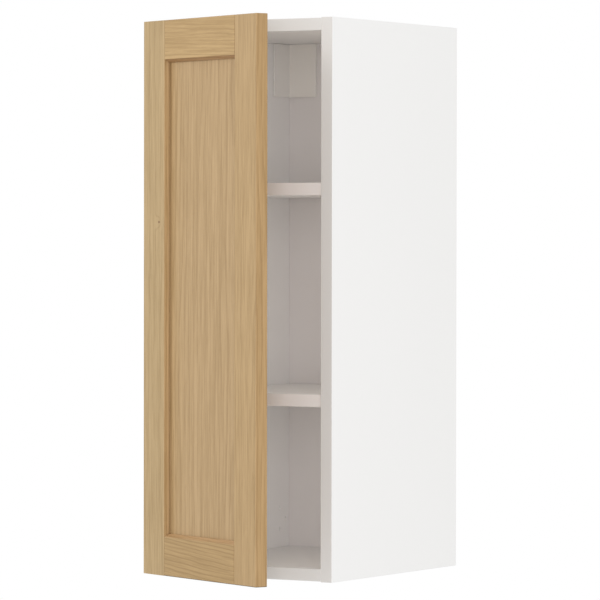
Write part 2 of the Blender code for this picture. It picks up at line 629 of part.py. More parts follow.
def hanging_corner(side, sign, steel, plastic):
    """A steel angle through the back panel's notch, its screws, the bolt to the wall rail, and the cover."""

    def across(distance):
        """A distance from the side board's inner face, as an X."""
        return sign * (SIDE_IN - distance)

    top = CEILING - BRACKET_BELOW_TOP
    low = top - BRACKET_HEIGHT
    leg_front = WALL - BRACKET_SIDE_LEG - BRACKET_STEEL - SEAT
    rear = BACK_REAR + SEAT
    outline = [
        (across(SEAT), leg_front),
        (across(SEAT + BRACKET_STEEL), leg_front),
        (across(SEAT + BRACKET_STEEL), rear),
        (across(BRACKET_BACK_LEG), rear),
        (across(BRACKET_BACK_LEG), rear + BRACKET_STEEL),
        (across(SEAT), rear + BRACKET_STEEL),
    ]
    bracket = extrusion(f"hanging_bracket_{side}", outline, low, top, "Z", steel)
    bolt = Vector((across(BOLT_FROM_SIDE), rear, SIDE_HIGH - BRACKET_HOLES_FROM_END))
    holes = [
        (
            "rod",
            bolt - Vector((0, OVERRUN, 0)),
            bolt + Vector((0, BRACKET_STEEL + OVERRUN, 0)),
            BOLT_RADIUS + SEAT,
        )
    ]
    screw_y = WALL - BRACKET_HOLE_FROM_WALL
    middle = SIDE_HIGH - BRACKET_HOLES_FROM_END
    for step in (-SYSTEM_PITCH / 2, SYSTEM_PITCH / 2):
        start = (across(-OVERRUN), screw_y, middle + step)
        end = (across(BRACKET_STEEL + OVERRUN), screw_y, middle + step)
        holes.append(("rod", start, end, SCREW_HEAD_RADIUS + SEAT, MIDDLE_ROUND))
    boolean(bracket, cutter(f"bracket_holes_{side}", holes), "DIFFERENCE")

    for name, step in (("low", -SYSTEM_PITCH / 2), ("high", SYSTEM_PITCH / 2)):
        at = (sign * SIDE_IN, screw_y, middle + step)
        head = ((-sign * SEAT, 0, 0), (-sign * (SEAT + BRACKET_STEEL), 0, 0), SCREW_HEAD_RADIUS)
        shank = ((-sign * LAP, 0, 0), (sign * SCREW_LENGTH, 0, 0), SCREW_RADIUS)
        rods(f"bracket_screw_{side}_{name}", [head, shank], steel, at=at, segments=SMALL_ROUND)

    bm = bmesh.new()
    head_start = bolt - Vector((0, SEAT + BOLT_HEAD_HEIGHT, 0))
    add_rod(bm, head_start, bolt - Vector((0, SEAT, 0)), BOLT_HEAD_RADIUS, 6)
    head_mesh = mesh_from(bm, f"hanging_bolt_{side}")
    hanging_bolt = place(f"hanging_bolt_{side}", head_mesh, (0, 0, 0), steel)
    shank_start = bolt - Vector((0, LAP, 0))
    shank_end = Vector((bolt.x, WALL - SEAT, bolt.z))
    shank = cutter(f"bolt_shank_{side}", [("rod", shank_start, shank_end, BOLT_RADIUS, MIDDLE_ROUND)])
    boolean(hanging_bolt, shank, "UNION")

    cover_top = CEILING - SEAT
    cover_low = cover_top - COVER_HEIGHT
    side_face = COVER_PROUD_OF_SIDE
    back_face = BACK_FACE - COVER_PROUD_OF_BACK
    leg_end = BACK_FACE - COVER_SIDE_LEG
    outline = [
        (across(SEAT), leg_end),
        (across(side_face), leg_end),
        (across(side_face), back_face),
        (across(COVER_BACK_LEG), back_face),
        (across(COVER_BACK_LEG), BACK_FACE - SEAT),
        (across(SEAT), BACK_FACE - SEAT),
    ]
    cover = extrusion(f"bracket_cover_{side}", outline, cover_low, cover_top, "Z", plastic)
    wall = COVER_WALL
    outline = [
        (across(-OVERRUN), leg_end + wall),
        (across(side_face - wall), leg_end + wall),
        (across(side_face - wall), back_face + wall),
        (across(COVER_BACK_LEG - wall), back_face + wall),
        (across(COVER_BACK_LEG - wall), BACK_FACE + OVERRUN),
        (across(-OVERRUN), BACK_FACE + OVERRUN),
    ]
    name = f"cover_hollow_{side}"
    hollow = extrusion(name, outline, cover_low + wall, cover_top - wall, "Z", None)
    boolean(cover, hollow, "DIFFERENCE")


def main():
    clear_scene()
    white = finish("white_board", (0.86, 0.86, 0.85), 0.45)
    hardboard = finish("white_hardboard", (0.84, 0.84, 0.83), 0.55)
    beech = finish("beech", (0.72, 0.53, 0.34), 0.7)
    oak = finish("oak", (0.54, 0.38, 0.20), 0.5)
    zinc = finish("nickel_plated", (0.72, 0.71, 0.69), 0.3, 1.0)
    steel = finish("zinc_plated_steel", (0.66, 0.67, 0.68), 0.35, 1.0)
    plastic = finish("white_plastic", (0.82, 0.82, 0.80), 0.4)
    silicone = finish("clear_silicone", (0.80, 0.80, 0.78), 0.3)

    carcass(white, hardboard, beech)
    shelves(white, steel)

    hinge_axis = bpy.data.objects.new("hinge_axis", None)
    bpy.context.scene.collection.objects.link(hinge_axis)
    hinge_axis.location = PIVOT
    hinge_axis.rotation_euler.z = -OPEN
    door_frame(oak, hinge_axis)
    bumpers(silicone, hinge_axis)
    for level, height in HINGE_HEIGHTS.items():
        hinge_cup(level, height, zinc, steel, hinge_axis)
        hinge_links(level, height, steel, hinge_axis)
        hinge_mount(level, height, zinc, steel)
    for side, sign in SIDES.items():
        hanging_corner(side, sign, steel, plastic)


main()
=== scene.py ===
# %% [markdown]
# # A hanging wall cabinet
# A tall narrow box of white faced board hangs on a wall by two steel corners. Inside are two
# shelves on pins, and in front an oak door of five pieces, which stands a little open. The sizes
# all come from the measured model, so this lesson adds only what a camera sees: eased edges,
# turned fittings, grain, sheen and light. The measured model is loaded first and never moved.

import json
import math

import bmesh
import bpy
import numpy as np
from mathutils import Matrix, Vector


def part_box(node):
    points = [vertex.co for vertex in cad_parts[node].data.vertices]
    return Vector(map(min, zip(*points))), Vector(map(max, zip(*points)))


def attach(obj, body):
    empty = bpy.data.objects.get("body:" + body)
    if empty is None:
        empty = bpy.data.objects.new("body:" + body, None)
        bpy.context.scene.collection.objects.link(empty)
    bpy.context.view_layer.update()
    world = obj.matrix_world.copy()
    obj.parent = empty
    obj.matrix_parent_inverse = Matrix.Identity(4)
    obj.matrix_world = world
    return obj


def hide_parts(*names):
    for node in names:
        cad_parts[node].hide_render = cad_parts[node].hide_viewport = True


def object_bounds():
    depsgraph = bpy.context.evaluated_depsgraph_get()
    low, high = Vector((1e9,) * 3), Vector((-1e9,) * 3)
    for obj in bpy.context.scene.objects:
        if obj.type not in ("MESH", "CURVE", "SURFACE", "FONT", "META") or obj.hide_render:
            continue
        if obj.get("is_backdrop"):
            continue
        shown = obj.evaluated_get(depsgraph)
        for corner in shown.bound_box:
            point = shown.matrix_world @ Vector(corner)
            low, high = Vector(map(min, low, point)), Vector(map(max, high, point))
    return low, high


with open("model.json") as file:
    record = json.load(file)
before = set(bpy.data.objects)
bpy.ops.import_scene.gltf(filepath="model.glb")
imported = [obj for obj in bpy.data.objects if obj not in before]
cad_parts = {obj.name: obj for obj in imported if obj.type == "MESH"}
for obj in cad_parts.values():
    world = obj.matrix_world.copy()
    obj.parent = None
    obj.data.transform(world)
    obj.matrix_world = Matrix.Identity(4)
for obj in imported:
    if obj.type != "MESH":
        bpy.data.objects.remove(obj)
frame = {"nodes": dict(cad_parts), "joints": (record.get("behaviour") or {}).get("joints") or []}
CAD_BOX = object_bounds()
MM = 0.001
print("nodes:", len(frame["nodes"]), "box:", [[round(c, 4) for c in corner] for corner in CAD_BOX])

# %% [markdown]
# ## Where the camera stands
# A long lens far away keeps the uprights upright and the two ends of the cabinet nearly parallel,
# as catalogues like to show furniture. The camera looks almost level, from the right of the
# door. Its three axes are written out as a matrix, since a small roll is easy to lose in angles.

# %% Camera
CAMERA_AT = Vector((3.09974, -5.27785, 0.48769))
YAW = math.radians(30.5189)
PITCH_DOWN = math.radians(0.8636)
ROLL = 0.001307
FOCAL_SHARE = 4168.0 / 600.0  # focal length in picture widths
SENSOR = 36.0
FURTHEST_SEEN = 200.0

forward = Vector(
    (
        -math.sin(YAW) * math.cos(PITCH_DOWN),
        math.cos(YAW) * math.cos(PITCH_DOWN),
        -math.sin(PITCH_DOWN),
    )
)
level = Vector((math.cos(YAW), math.sin(YAW), 0))
upright = level.cross(forward)
right = level * math.cos(ROLL) + upright * math.sin(ROLL)
up = upright * math.cos(ROLL) - level * math.sin(ROLL)

lens = bpy.data.cameras.new("long_lens")
lens.sensor_width = SENSOR
lens.lens = SENSOR * FOCAL_SHARE
lens.clip_end = FURTHEST_SEEN
camera = bpy.data.objects.new("camera", lens)
bpy.context.scene.collection.objects.link(camera)
axes = Matrix((right, up, -forward)).transposed().to_4x4()
camera.matrix_world = Matrix.Translation(CAMERA_AT) @ axes
bpy.context.scene.camera = camera
print("lens:", round(lens.lens, 1), "mm")

# %% [markdown]
# ## A short way to write node trees
# Every finish and every turned fitting below is a tree of nodes. One small helper adds a node,
# sets its choices and joins its inputs in a single line, so that a tree reads like a recipe.

# %% Node helper
MIX_SHARE, MIX_FIRST, MIX_SECOND = 0, 6, 7  # the colour sockets of a mix node, by number
MIX_RESULT = 2


class Wiring:
    """Adds nodes to one tree. A value is either a plain value or another node's output."""

    def __init__(self, tree):
        self.tree = tree

    def add(self, kind, sockets=None, out=0, **choices):
        made = self.tree.nodes.new(kind)
        for name, value in choices.items():
            setattr(made, name, value)
        for name, value in (sockets or {}).items():
            if isinstance(value, bpy.types.NodeSocket):
                self.tree.links.new(value, made.inputs[name])
            else:
                made.inputs[name].default_value = value
        return made if out is None else made.outputs[out]

    def maths(self, operation, *values, clamp=False):
        return self.add("ShaderNodeMath", dict(enumerate(values)), operation=operation, use_clamp=clamp)

    def vector(self, operation, *values, out=0):
        return self.add("ShaderNodeVectorMath", dict(enumerate(values)), out, operation=operation)

    def remap(self, value, low, high, to_low=0.0, to_high=1.0):
        """A smooth step from to_low to to_high as the value goes from low to high."""
        return self.add(
            "ShaderNodeMapRange",
            {"Value": value, "From Min": low, "From Max": high, "To Min": to_low, "To Max": to_high},
            interpolation_type="SMOOTHSTEP",
        )

    def blend(self, share, first, second, mode="MIX"):
        """Two colours mixed by a share."""
        made = self.add("ShaderNodeMix", None, None, data_type="RGBA", blend_type=mode)
        for number, value in ((MIX_SHARE, share), (MIX_FIRST, first), (MIX_SECOND, second)):
            if isinstance(value, bpy.types.NodeSocket):
                self.tree.links.new(value, made.inputs[number])
            else:
                made.inputs[number].default_value = value
        return made.outputs[MIX_RESULT]

    def noise(self, place, stretch, detail=2.0, rough=0.5, seed=0.0):
        """Noise in 0..1 with its own number of cells per metre along each axis."""
        moved = self.vector("ADD", place, (seed, seed * 0.37, seed * 0.73))
        scaled = self.vector("MULTIPLY", moved, stretch)
        sockets = {"Vector": scaled, "Scale": 1.0, "Detail": detail, "Roughness": rough}
        return self.add("ShaderNodeTexNoise", sockets)


print("ways to add a node:", [name for name in vars(Wiring) if not name.startswith("_")])

# %% Groups with named sockets


def new_group(name, kind, inputs, outputs):
    """A node group with named sockets, and the wiring, input and output nodes to fill it with."""
    group = bpy.data.node_groups.new(name, kind)
    for in_out, sockets in (("INPUT", inputs), ("OUTPUT", outputs)):
        for label, (holds, value) in sockets.items():
            socket_type = f"NodeSocket{holds}"
            socket = group.interface.new_socket(label, in_out=in_out, socket_type=socket_type)
            if value is not None:
                socket.default_value = value
    wiring = Wiring(group)
    given = wiring.add("NodeGroupInput", out=None).outputs
    result = wiring.add("NodeGroupOutput", out=None)
    return group, wiring, given, result


def deliver(wiring, result, **values):
    """Joins values to the group's outputs. An underscore in a name stands for a space."""
    for label, value in values.items():
        wiring.tree.links.new(value, result.inputs[label.replace("_", " ")])


print("helpers:", new_group.__name__, deliver.__name__)

# %% [markdown]
# ## Oak
# The door is veneered and solid oak, straight grained. Seen close, oak is rings of open pores
# with denser wood between, all drawn out along the tree. A picture of oak would repeat and would
# not turn the corners of a stile. Distance from a pith line that lies outside the piece gives
# rings which run on round every corner, and noise stretched nearly sixty times along the grain
# adds the fibres. The group takes a place with the grain along Z and gives a colour, a roughness
# and a height, so each piece of the door can turn it and shift it to a different part of the
# tree. Two extras are off unless asked for: a small knot that bends the rings round itself, and a
# painted shade that darkens the last millimetres of a recess wall, where the corner lies in shade.

# %% Oak grain group
OAK_INPUTS = {
    "Place": ("Vector", None),
    "Pith": ("Vector", (0.35, 0.12, 0.0)),
    "Ring Spacing": ("Float", 0.0034),
    "Light": ("Color", (0.63, 0.45, 0.25, 1)),
    "Dark": ("Color", (0.50, 0.335, 0.165, 1)),
    "Streaks": ("Float", 1.0),
    "Rings": ("Float", 0.6),
    "Seed": ("Float", 0.0),
    "Knot": ("Vector", (0.0, 0.0, 0.0)),
    "Knot Size": ("Float", 0.0),
    "Corner Depth": ("Float", 0.0),
    "Corner Shade": ("Float", 0.0),
}
oak_group, w, given, result = new_group(
    "oak_grain",
    "ShaderNodeTree",
    OAK_INPUTS,
    {"Color": ("Color", None), "Roughness": ("Float", None), "Height": ("Float", None)},
)
GRAIN = {
    # what varies: (cells per metre along X, Y and Z), detail, roughness, seed
    "wander": ((7.0, 7.0, 1.6), 1.0, 0.4, 0.0),
    "fine wander": ((55.0, 55.0, 16.0), 1.0, 0.5, 3.1),
    "years": ((30.0, 30.0, 0.8), 1.0, 0.5, 8.3),
    "ring strength": ((85.0, 85.0, 4.0), 1.0, 0.5, 6.1),
    "bands": ((42.0, 42.0, 1.1), 2.0, 0.55, 5.3),
    "streaks": ((260.0, 260.0, 10.0), 3.0, 0.72, 1.7),
    "fibres": ((1500.0, 1500.0, 26.0), 2.0, 0.6, 2.9),
    "pores": ((2100.0, 2100.0, 95.0), 1.0, 0.4, 7.7),
    "flecks": ((240.0, 900.0, 55.0), 1.0, 0.5, 9.1),
}
WANDER = 0.045  # metres that the rings wander, at most
FINE_WANDER = 0.0030
YEAR_CHANGE = 0.009
TRUNK_TAPER = (1.0, 1.0, 0.02)  # rings close slowly along the trunk
shift = w.add("ShaderNodeCombineXYZ", {0: given["Seed"], 1: given["Seed"], 2: given["Seed"]})
place = w.vector("ADD", given["Place"], shift)
from_pith = w.vector("SUBTRACT", given["Place"], given["Pith"])
distance = w.vector("LENGTH", w.vector("MULTIPLY", from_pith, TRUNK_TAPER), out=1)
bent = w.maths("MULTIPLY_ADD", w.noise(place, *GRAIN["wander"]), WANDER, distance)
bent = w.maths("MULTIPLY_ADD", w.noise(place, *GRAIN["fine wander"]), FINE_WANDER, bent)
bent = w.maths("MULTIPLY_ADD", w.noise(place, *GRAIN["years"]), YEAR_CHANGE, bent)
print("rings:", len(oak_group.nodes), "nodes so far")

# %% A knot, where the rings bend round a small dark spot
KNOT_SHAPE = (1.0, 0.3, 1.5)
KNOT_PUSH = 1.5  # how far it pushes the rings, in knot sizes
KNOT_DARK = (1.0, 0.35)  # dark from the first distance inwards, in knot sizes
KNOT_REACH = (6.0, 1.0)  # rings bend from the first distance inwards
SMALLEST_KNOT = 0.000001  # keeps the division safe where there is none
from_knot = w.vector("SUBTRACT", given["Place"], given["Knot"])
from_knot = w.vector("LENGTH", w.vector("MULTIPLY", from_knot, KNOT_SHAPE), out=1)
knot_size = w.maths("MAXIMUM", given["Knot Size"], SMALLEST_KNOT)
knot_share = w.maths("DIVIDE", from_knot, knot_size)
knot = w.remap(knot_share, *KNOT_DARK)
push = w.maths("MULTIPLY", given["Knot Size"], KNOT_PUSH)
bent = w.maths("MULTIPLY_ADD", w.remap(knot_share, *KNOT_REACH), push, bent)
print("with the knot:", len(oak_group.nodes), "nodes")

# %% Where in its year's ring each spot lies, and what lies across the rings
EARLY_STARTS, EARLY_ENDS = (0.0, 0.07), (0.42, 0.10)  # early wood, in shares of a year's ring
STRENGTH_STEP, FAINTEST = (0.36, 0.64), 0.25  # noise on this step makes a ring faint or full
PORE_STEP, FLECK_STEP = (0.60, 0.70), (0.66, 0.78)  # noise above the step is a pore or a fleck
STRAY_PORES = 0.2  # the share of pores that late wood has
ring_share = w.maths("FRACT", w.maths("DIVIDE", bent, given["Ring Spacing"]))
rise, fall = w.remap(ring_share, *EARLY_STARTS), w.remap(ring_share, *EARLY_ENDS)
early = w.maths("MULTIPLY", rise, fall)
strength = w.remap(w.noise(place, *GRAIN["ring strength"]), *STRENGTH_STEP, FAINTEST, 1.0)
early = w.maths("MULTIPLY", early, strength)
bands = w.noise(place, *GRAIN["bands"])
streaks = w.noise(place, *GRAIN["streaks"])
fibres = w.noise(place, *GRAIN["fibres"])
pore_noise = w.remap(w.noise(place, *GRAIN["pores"]), *PORE_STEP)
pore_share = w.maths("MULTIPLY_ADD", early, 1.0 - STRAY_PORES, STRAY_PORES)
pores = w.maths("MULTIPLY", pore_noise, pore_share)
flecks = w.remap(w.noise(place, *GRAIN["flecks"]), *FLECK_STEP)
print("with pores and flecks:", len(oak_group.nodes), "nodes")

# %% Oak's colour, its lacquer and its relief
PORE_COLOUR = (0.27, 0.16, 0.07, 1)
KNOT_COLOUR = (0.16, 0.075, 0.025, 1)

# A tone of 0 is the light colour and 1 the dark one
TONE = {"middle": 0.40, "bands": 0.7, "streaks": 3.1, "fibres": 0.5, "flecks": -0.12}
STAIN = {"pores": 0.42, "knot": 0.85}  # how much of their own colour they show
uneven = w.maths("MULTIPLY", w.maths("SUBTRACT", streaks, 0.5), given["Streaks"])
tone = w.maths("MULTIPLY_ADD", w.maths("SUBTRACT", bands, 0.5), TONE["bands"], TONE["middle"])
tone = w.maths("MULTIPLY_ADD", uneven, TONE["streaks"], tone)
tone = w.maths("MULTIPLY_ADD", early, given["Rings"], tone)
tone = w.maths("MULTIPLY_ADD", w.maths("SUBTRACT", fibres, 0.5), TONE["fibres"], tone)
tone = w.maths("MULTIPLY_ADD", flecks, TONE["flecks"], tone, clamp=True)
colour = w.blend(tone, given["Light"], given["Dark"])
colour = w.blend(w.maths("MULTIPLY", pores, STAIN["pores"]), colour, PORE_COLOUR)
colour = w.blend(w.maths("MULTIPLY", knot, STAIN["knot"]), colour, KNOT_COLOUR)

# Painted shade: the last millimetres of a recess wall, just before the panel, are darkened where the
# corner lies in shade
CORNER_SHADE_STARTS, CORNER_SHADE_FULL = -0.0034, -0.0012  # metres along Y from the panel's front
CORNER_SHADE_COLOUR = (0.20, 0.10, 0.035, 1)
front_to_back = w.add("ShaderNodeSeparateXYZ", {0: given["Place"]}, 1)
depth = w.maths("SUBTRACT", front_to_back, given["Corner Depth"])
corner_shade_ramp = w.remap(depth, CORNER_SHADE_STARTS, CORNER_SHADE_FULL)
shade = w.maths("MULTIPLY", corner_shade_ramp, given["Corner Shade"])
colour = w.blend(shade, colour, CORNER_SHADE_COLOUR)

# Pores and early wood lie lower than the fibres, and pores are the roughest
HEIGHTS = {"pores": -1.0, "early wood": -0.25, "fibres": 0.35}
ROUGH = {"everywhere": 0.42, "fibres": 0.10, "pores": 0.22}
relief = w.maths("MULTIPLY", fibres, HEIGHTS["fibres"])
relief = w.maths("MULTIPLY_ADD", pores, HEIGHTS["pores"], relief)
relief = w.maths("MULTIPLY_ADD", early, HEIGHTS["early wood"], relief)
gloss = w.maths("MULTIPLY_ADD", fibres, ROUGH["fibres"], ROUGH["everywhere"])
gloss = w.maths("MULTIPLY_ADD", pores, ROUGH["pores"], gloss)
deliver(w, result, Color=colour, Roughness=gloss, Height=relief)
print("oak_grain:", len(oak_group.nodes), "nodes")

# %% [markdown]
# ## Faced board, painted and moulded surfaces
# White foil on chipboard, paint on hardboard and moulded plastic are all one quiet colour with a
# faint orange peel that only shows in a reflection. One group serves them all: a broad cloud that
# shifts the tone by a hair, a fine ripple for the bump, and a gloss that wanders a little.

# %% Quiet surface group
surface_group, w, given, result = new_group(
    "quiet_surface",
    "ShaderNodeTree",
    {
        "Color": ("Color", (0.86, 0.86, 0.85, 1)),
        "Tone Change": ("Float", 0.02),
        "Ripple Size": ("Float", 0.0012),
        "Gloss": ("Float", 0.4),
        "Gloss Change": ("Float", 0.08),
    },
    {"Color": ("Color", None), "Roughness": ("Float", None), "Height": ("Float", None)},
)
OBJECT_PLACE = 3  # the Object output of the texture coordinates
CLOUD_CELLS = (5.0, 5.0, 5.0)  # per metre
SPECK_CELLS = (700.0, 700.0, 700.0)
SPECK_STEP, SPECK_TONE = (0.70, 0.80), -0.8  # specks are darker, by a share of the tone change
place = w.add("ShaderNodeTexCoord", out=OBJECT_PLACE)
cells = w.maths("DIVIDE", 1.0, given["Ripple Size"])
fine = {"Vector": place, "Scale": cells, "Detail": 2.0, "Roughness": 0.55}
ripple = w.add("ShaderNodeTexNoise", fine)
cloud = w.noise(place, CLOUD_CELLS, 3.0, 0.6, 4.0)
specks = w.remap(w.noise(place, SPECK_CELLS, 1.0, 0.5, 6.0), *SPECK_STEP)
shade = w.maths("MULTIPLY_ADD", w.maths("SUBTRACT", cloud, 0.5), given["Tone Change"], 1.0)
speck_change = w.maths("MULTIPLY", given["Tone Change"], SPECK_TONE)
shade = w.maths("MULTIPLY_ADD", specks, speck_change, shade)
grey = w.add("ShaderNodeCombineColor", {0: shade, 1: shade, 2: shade})
colour = w.blend(1.0, given["Color"], grey, "MULTIPLY")
gloss = w.maths("MULTIPLY_ADD", w.maths("SUBTRACT", ripple, 0.5), given["Gloss Change"], given["Gloss"])
gloss = w.maths("MULTIPLY_ADD", cloud, given["Gloss Change"], gloss, clamp=True)
deliver(w, result, Color=colour, Roughness=gloss, Height=ripple)
print("quiet_surface:", len(surface_group.nodes), "nodes")

# %% [markdown]
# ## Plated metal
# Barrel-plated hinge parts and screws carry fine rubbing marks in every direction and a slightly
# cloudy plating. Two stretched noises crossed give the marks, and a soft noise the cloud.

# %% Plated metal group
metal_group, w, given, result = new_group(
    "plated_metal",
    "ShaderNodeTree",
    {
        "Bright": ("Color", (0.75, 0.74, 0.72, 1)),
        "Dull": ("Color", (0.55, 0.54, 0.52, 1)),
        "Gloss": ("Float", 0.28),
    },
    {"Color": ("Color", None), "Roughness": ("Float", None), "Height": ("Float", None)},
)
PLATING_CELLS = (220.0, 220.0, 220.0)  # per metre
MARKS_UP = (3600.0, 3600.0, 160.0)
MARKS_ACROSS = (160.0, 160.0, 3600.0)
CLOUD_STEP, CLOUD_ROUGH = (0.3, 0.75), 0.22
MARK_STEP, MARK_ROUGH = (0.6, 0.8), 0.12
place = w.add("ShaderNodeTexCoord", out=OBJECT_PLACE)
cloud = w.noise(place, PLATING_CELLS, 4.0, 0.6)
marks_up = w.noise(place, MARKS_UP, 2.0, 0.5, 1.0)
marks = w.maths("MAXIMUM", marks_up, w.noise(place, MARKS_ACROSS, 2.0, 0.5, 2.0))
colour = w.blend(w.remap(cloud, *CLOUD_STEP), given["Bright"], given["Dull"])
gloss = w.maths("MULTIPLY_ADD", cloud, CLOUD_ROUGH, given["Gloss"])
gloss = w.maths("MULTIPLY_ADD", w.remap(marks, *MARK_STEP), MARK_ROUGH, gloss)
deliver(w, result, Color=colour, Roughness=gloss, Height=marks)
print("plated_metal:", len(metal_group.nodes), "nodes")

# %% [markdown]
# ## Finishes
# A finish is one Principled shader fed by a group. What varies over the surface comes from the
# group, and what is the same everywhere, such as metallic or the index of refraction, is set on
# the shader itself. The bump is kept to hundredths of a millimetre, since the eased edges and the
# grooves are real geometry.

# %% Finish helper
FINISHES = {}


def finish(name, group, values, bump, place=None, **shader_values):
    """A material whose colour, roughness and bump come from a group."""
    material = bpy.data.materials.new(name)
    material.use_nodes = True
    wiring = Wiring(material.node_tree)
    shader = material.node_tree.nodes["Principled BSDF"]
    source = wiring.add("ShaderNodeGroup", None, None, node_tree=group)
    for label, value in values.items():
        source.inputs[label].default_value = value
    if place:
        turn, centre = place
        where = wiring.add("ShaderNodeTexCoord", out=OBJECT_PLACE)
        mapping = {"Vector": where, "Location": centre, "Rotation": turn}
        wiring.tree.links.new(wiring.add("ShaderNodeMapping", mapping), source.inputs["Place"])
    wiring.tree.links.new(source.outputs["Color"], shader.inputs["Base Color"])
    wiring.tree.links.new(source.outputs["Roughness"], shader.inputs["Roughness"])
    height = {"Height": source.outputs["Height"], "Distance": bump, "Strength": 1.0}
    wiring.tree.links.new(wiring.add("ShaderNodeBump", height), shader.inputs["Normal"])
    for label, value in shader_values.items():
        shader.inputs[label.replace("_", " ")].default_value = value
    FINISHES[name] = material


print("helper:", finish.__name__)

# %% White boards, plastic and silicone
SURFACES = {
    # name: (colour, gloss, tone change, ripple size, bump)
    "white_foil": ((0.90, 0.893, 0.882), 0.36, 0.012, 0.0012, 0.00001),
    # Partly painted shade: the front edge strip has its own tone and is also painted darker than the
    # foil, as shade on the front faces
    "edge_strip": ((0.688, 0.673, 0.650), 0.42, 0.02, 0.0009, 0.00002),
    "shelf_strip": ((0.83, 0.79, 0.765), 0.42, 0.02, 0.0009, 0.00002),
    "white_paint": ((0.89, 0.868, 0.860), 0.5, 0.03, 0.0008, 0.00002),
    "moulded_plastic": ((0.895, 0.882, 0.855), 0.34, 0.02, 0.0005, 0.00001),
    # painted light: the covers' front is painted brighter than their sides
    "moulded_plastic_lit_front": ((0.955, 0.935, 0.892), 0.34, 0.02, 0.0005, 0.00001),
    "soft_silicone": ((0.86, 0.87, 0.86), 0.22, 0.05, 0.001, 0.00001),
}
CLEAR = {"soft_silicone": {"Transmission_Weight": 0.7, "IOR": 1.41}}
for name, (tint, gloss, change, ripple_size, bump) in SURFACES.items():
    values = {"Color": (*tint, 1), "Gloss": gloss, "Tone Change": change, "Ripple Size": ripple_size}
    finish(name, surface_group, values, bump, **CLEAR.get(name, {}))
print("finishes:", sorted(FINISHES))

# %% Metals and beech
METALS = {
    # name: (bright, dull, gloss, bump)
    "nickel_plate": ((0.75, 0.74, 0.72), (0.55, 0.54, 0.52), 0.24, 0.000004),
    "zinc_plate": ((0.70, 0.71, 0.73), (0.50, 0.51, 0.53), 0.32, 0.000006),
    "pin_plate": ((0.90, 0.89, 0.88), (0.78, 0.77, 0.76), 0.34, 0.000004),
}
for name, (bright, dull, gloss, bump) in METALS.items():
    values = {"Bright": (*bright, 1), "Dull": (*dull, 1), "Gloss": gloss}
    finish(name, metal_group, values, bump, Metallic=1.0)
finish(
    "beech_wood",
    oak_group,
    {
        "Light": (0.72, 0.53, 0.35, 1),
        "Dark": (0.58, 0.40, 0.24, 1),
        "Streaks": 0.4,
        "Ring Spacing": 0.0021,
    },
    0.00003,
    place=((0, math.radians(90), 0), (0, 0, 0)),
)
print("finishes so far:", len(FINISHES))

# %% [markdown]
# ## How far the door stands open
# Grain follows the boards, so its direction has to turn with the door. The angle is measured on
# the door panel itself: its long flat face gives the direction across the door.

# %% Door directions
SAME_POINT = 0.002 * MM
FLAT = math.radians(0.5)


def solid_of(node):
    """A CAD node as one closed bmesh with flat areas as single faces."""
    bm = bmesh.new()
    bm.from_mesh(frame["nodes"][node].data)
    bmesh.ops.remove_doubles(bm, verts=bm.verts, dist=SAME_POINT)
    bmesh.ops.dissolve_limit(bm, angle_limit=FLAT, verts=bm.verts, edges=bm.edges)
    return bm


panel = solid_of("door_panel")
broad = max(panel.faces, key=lambda face: face.calc_area())
normal = broad.normal if broad.normal.y < 0 else -broad.normal
panel.free()
OPEN_ANGLE = math.atan2(-normal.x, -normal.y)
TO_CLOSED = Matrix.Rotation(OPEN_ANGLE, 3, "Z")
swing = next(joint for joint in frame["joints"] if joint["name"] == "door_swing")
HINGE_LINE = Vector((*swing["pos_m"][:2], 0))
print("door open by", round(math.degrees(OPEN_ANGLE), 2), "degrees")

# %% [markdown]
# ## Five oak finishes
# A joiner picks boards that go together but are never the same. Each piece takes its own place in
# the tree, and a tone a few parts in a hundred lighter or darker. Rails are turned a quarter so
# that their grain runs across the door. The narrow faces of the stiles have a finish of their own,
# since their rings show more strongly; on the hinge stile it is also painted lighter, as painted light
# against the shade of the recess. One stile carries a small knot. The rails' slopes have theirs too:
# the lower one, which faces up, is painted lighter as painted light, and the upper one, which faces
# down, is painted darker as painted shade.

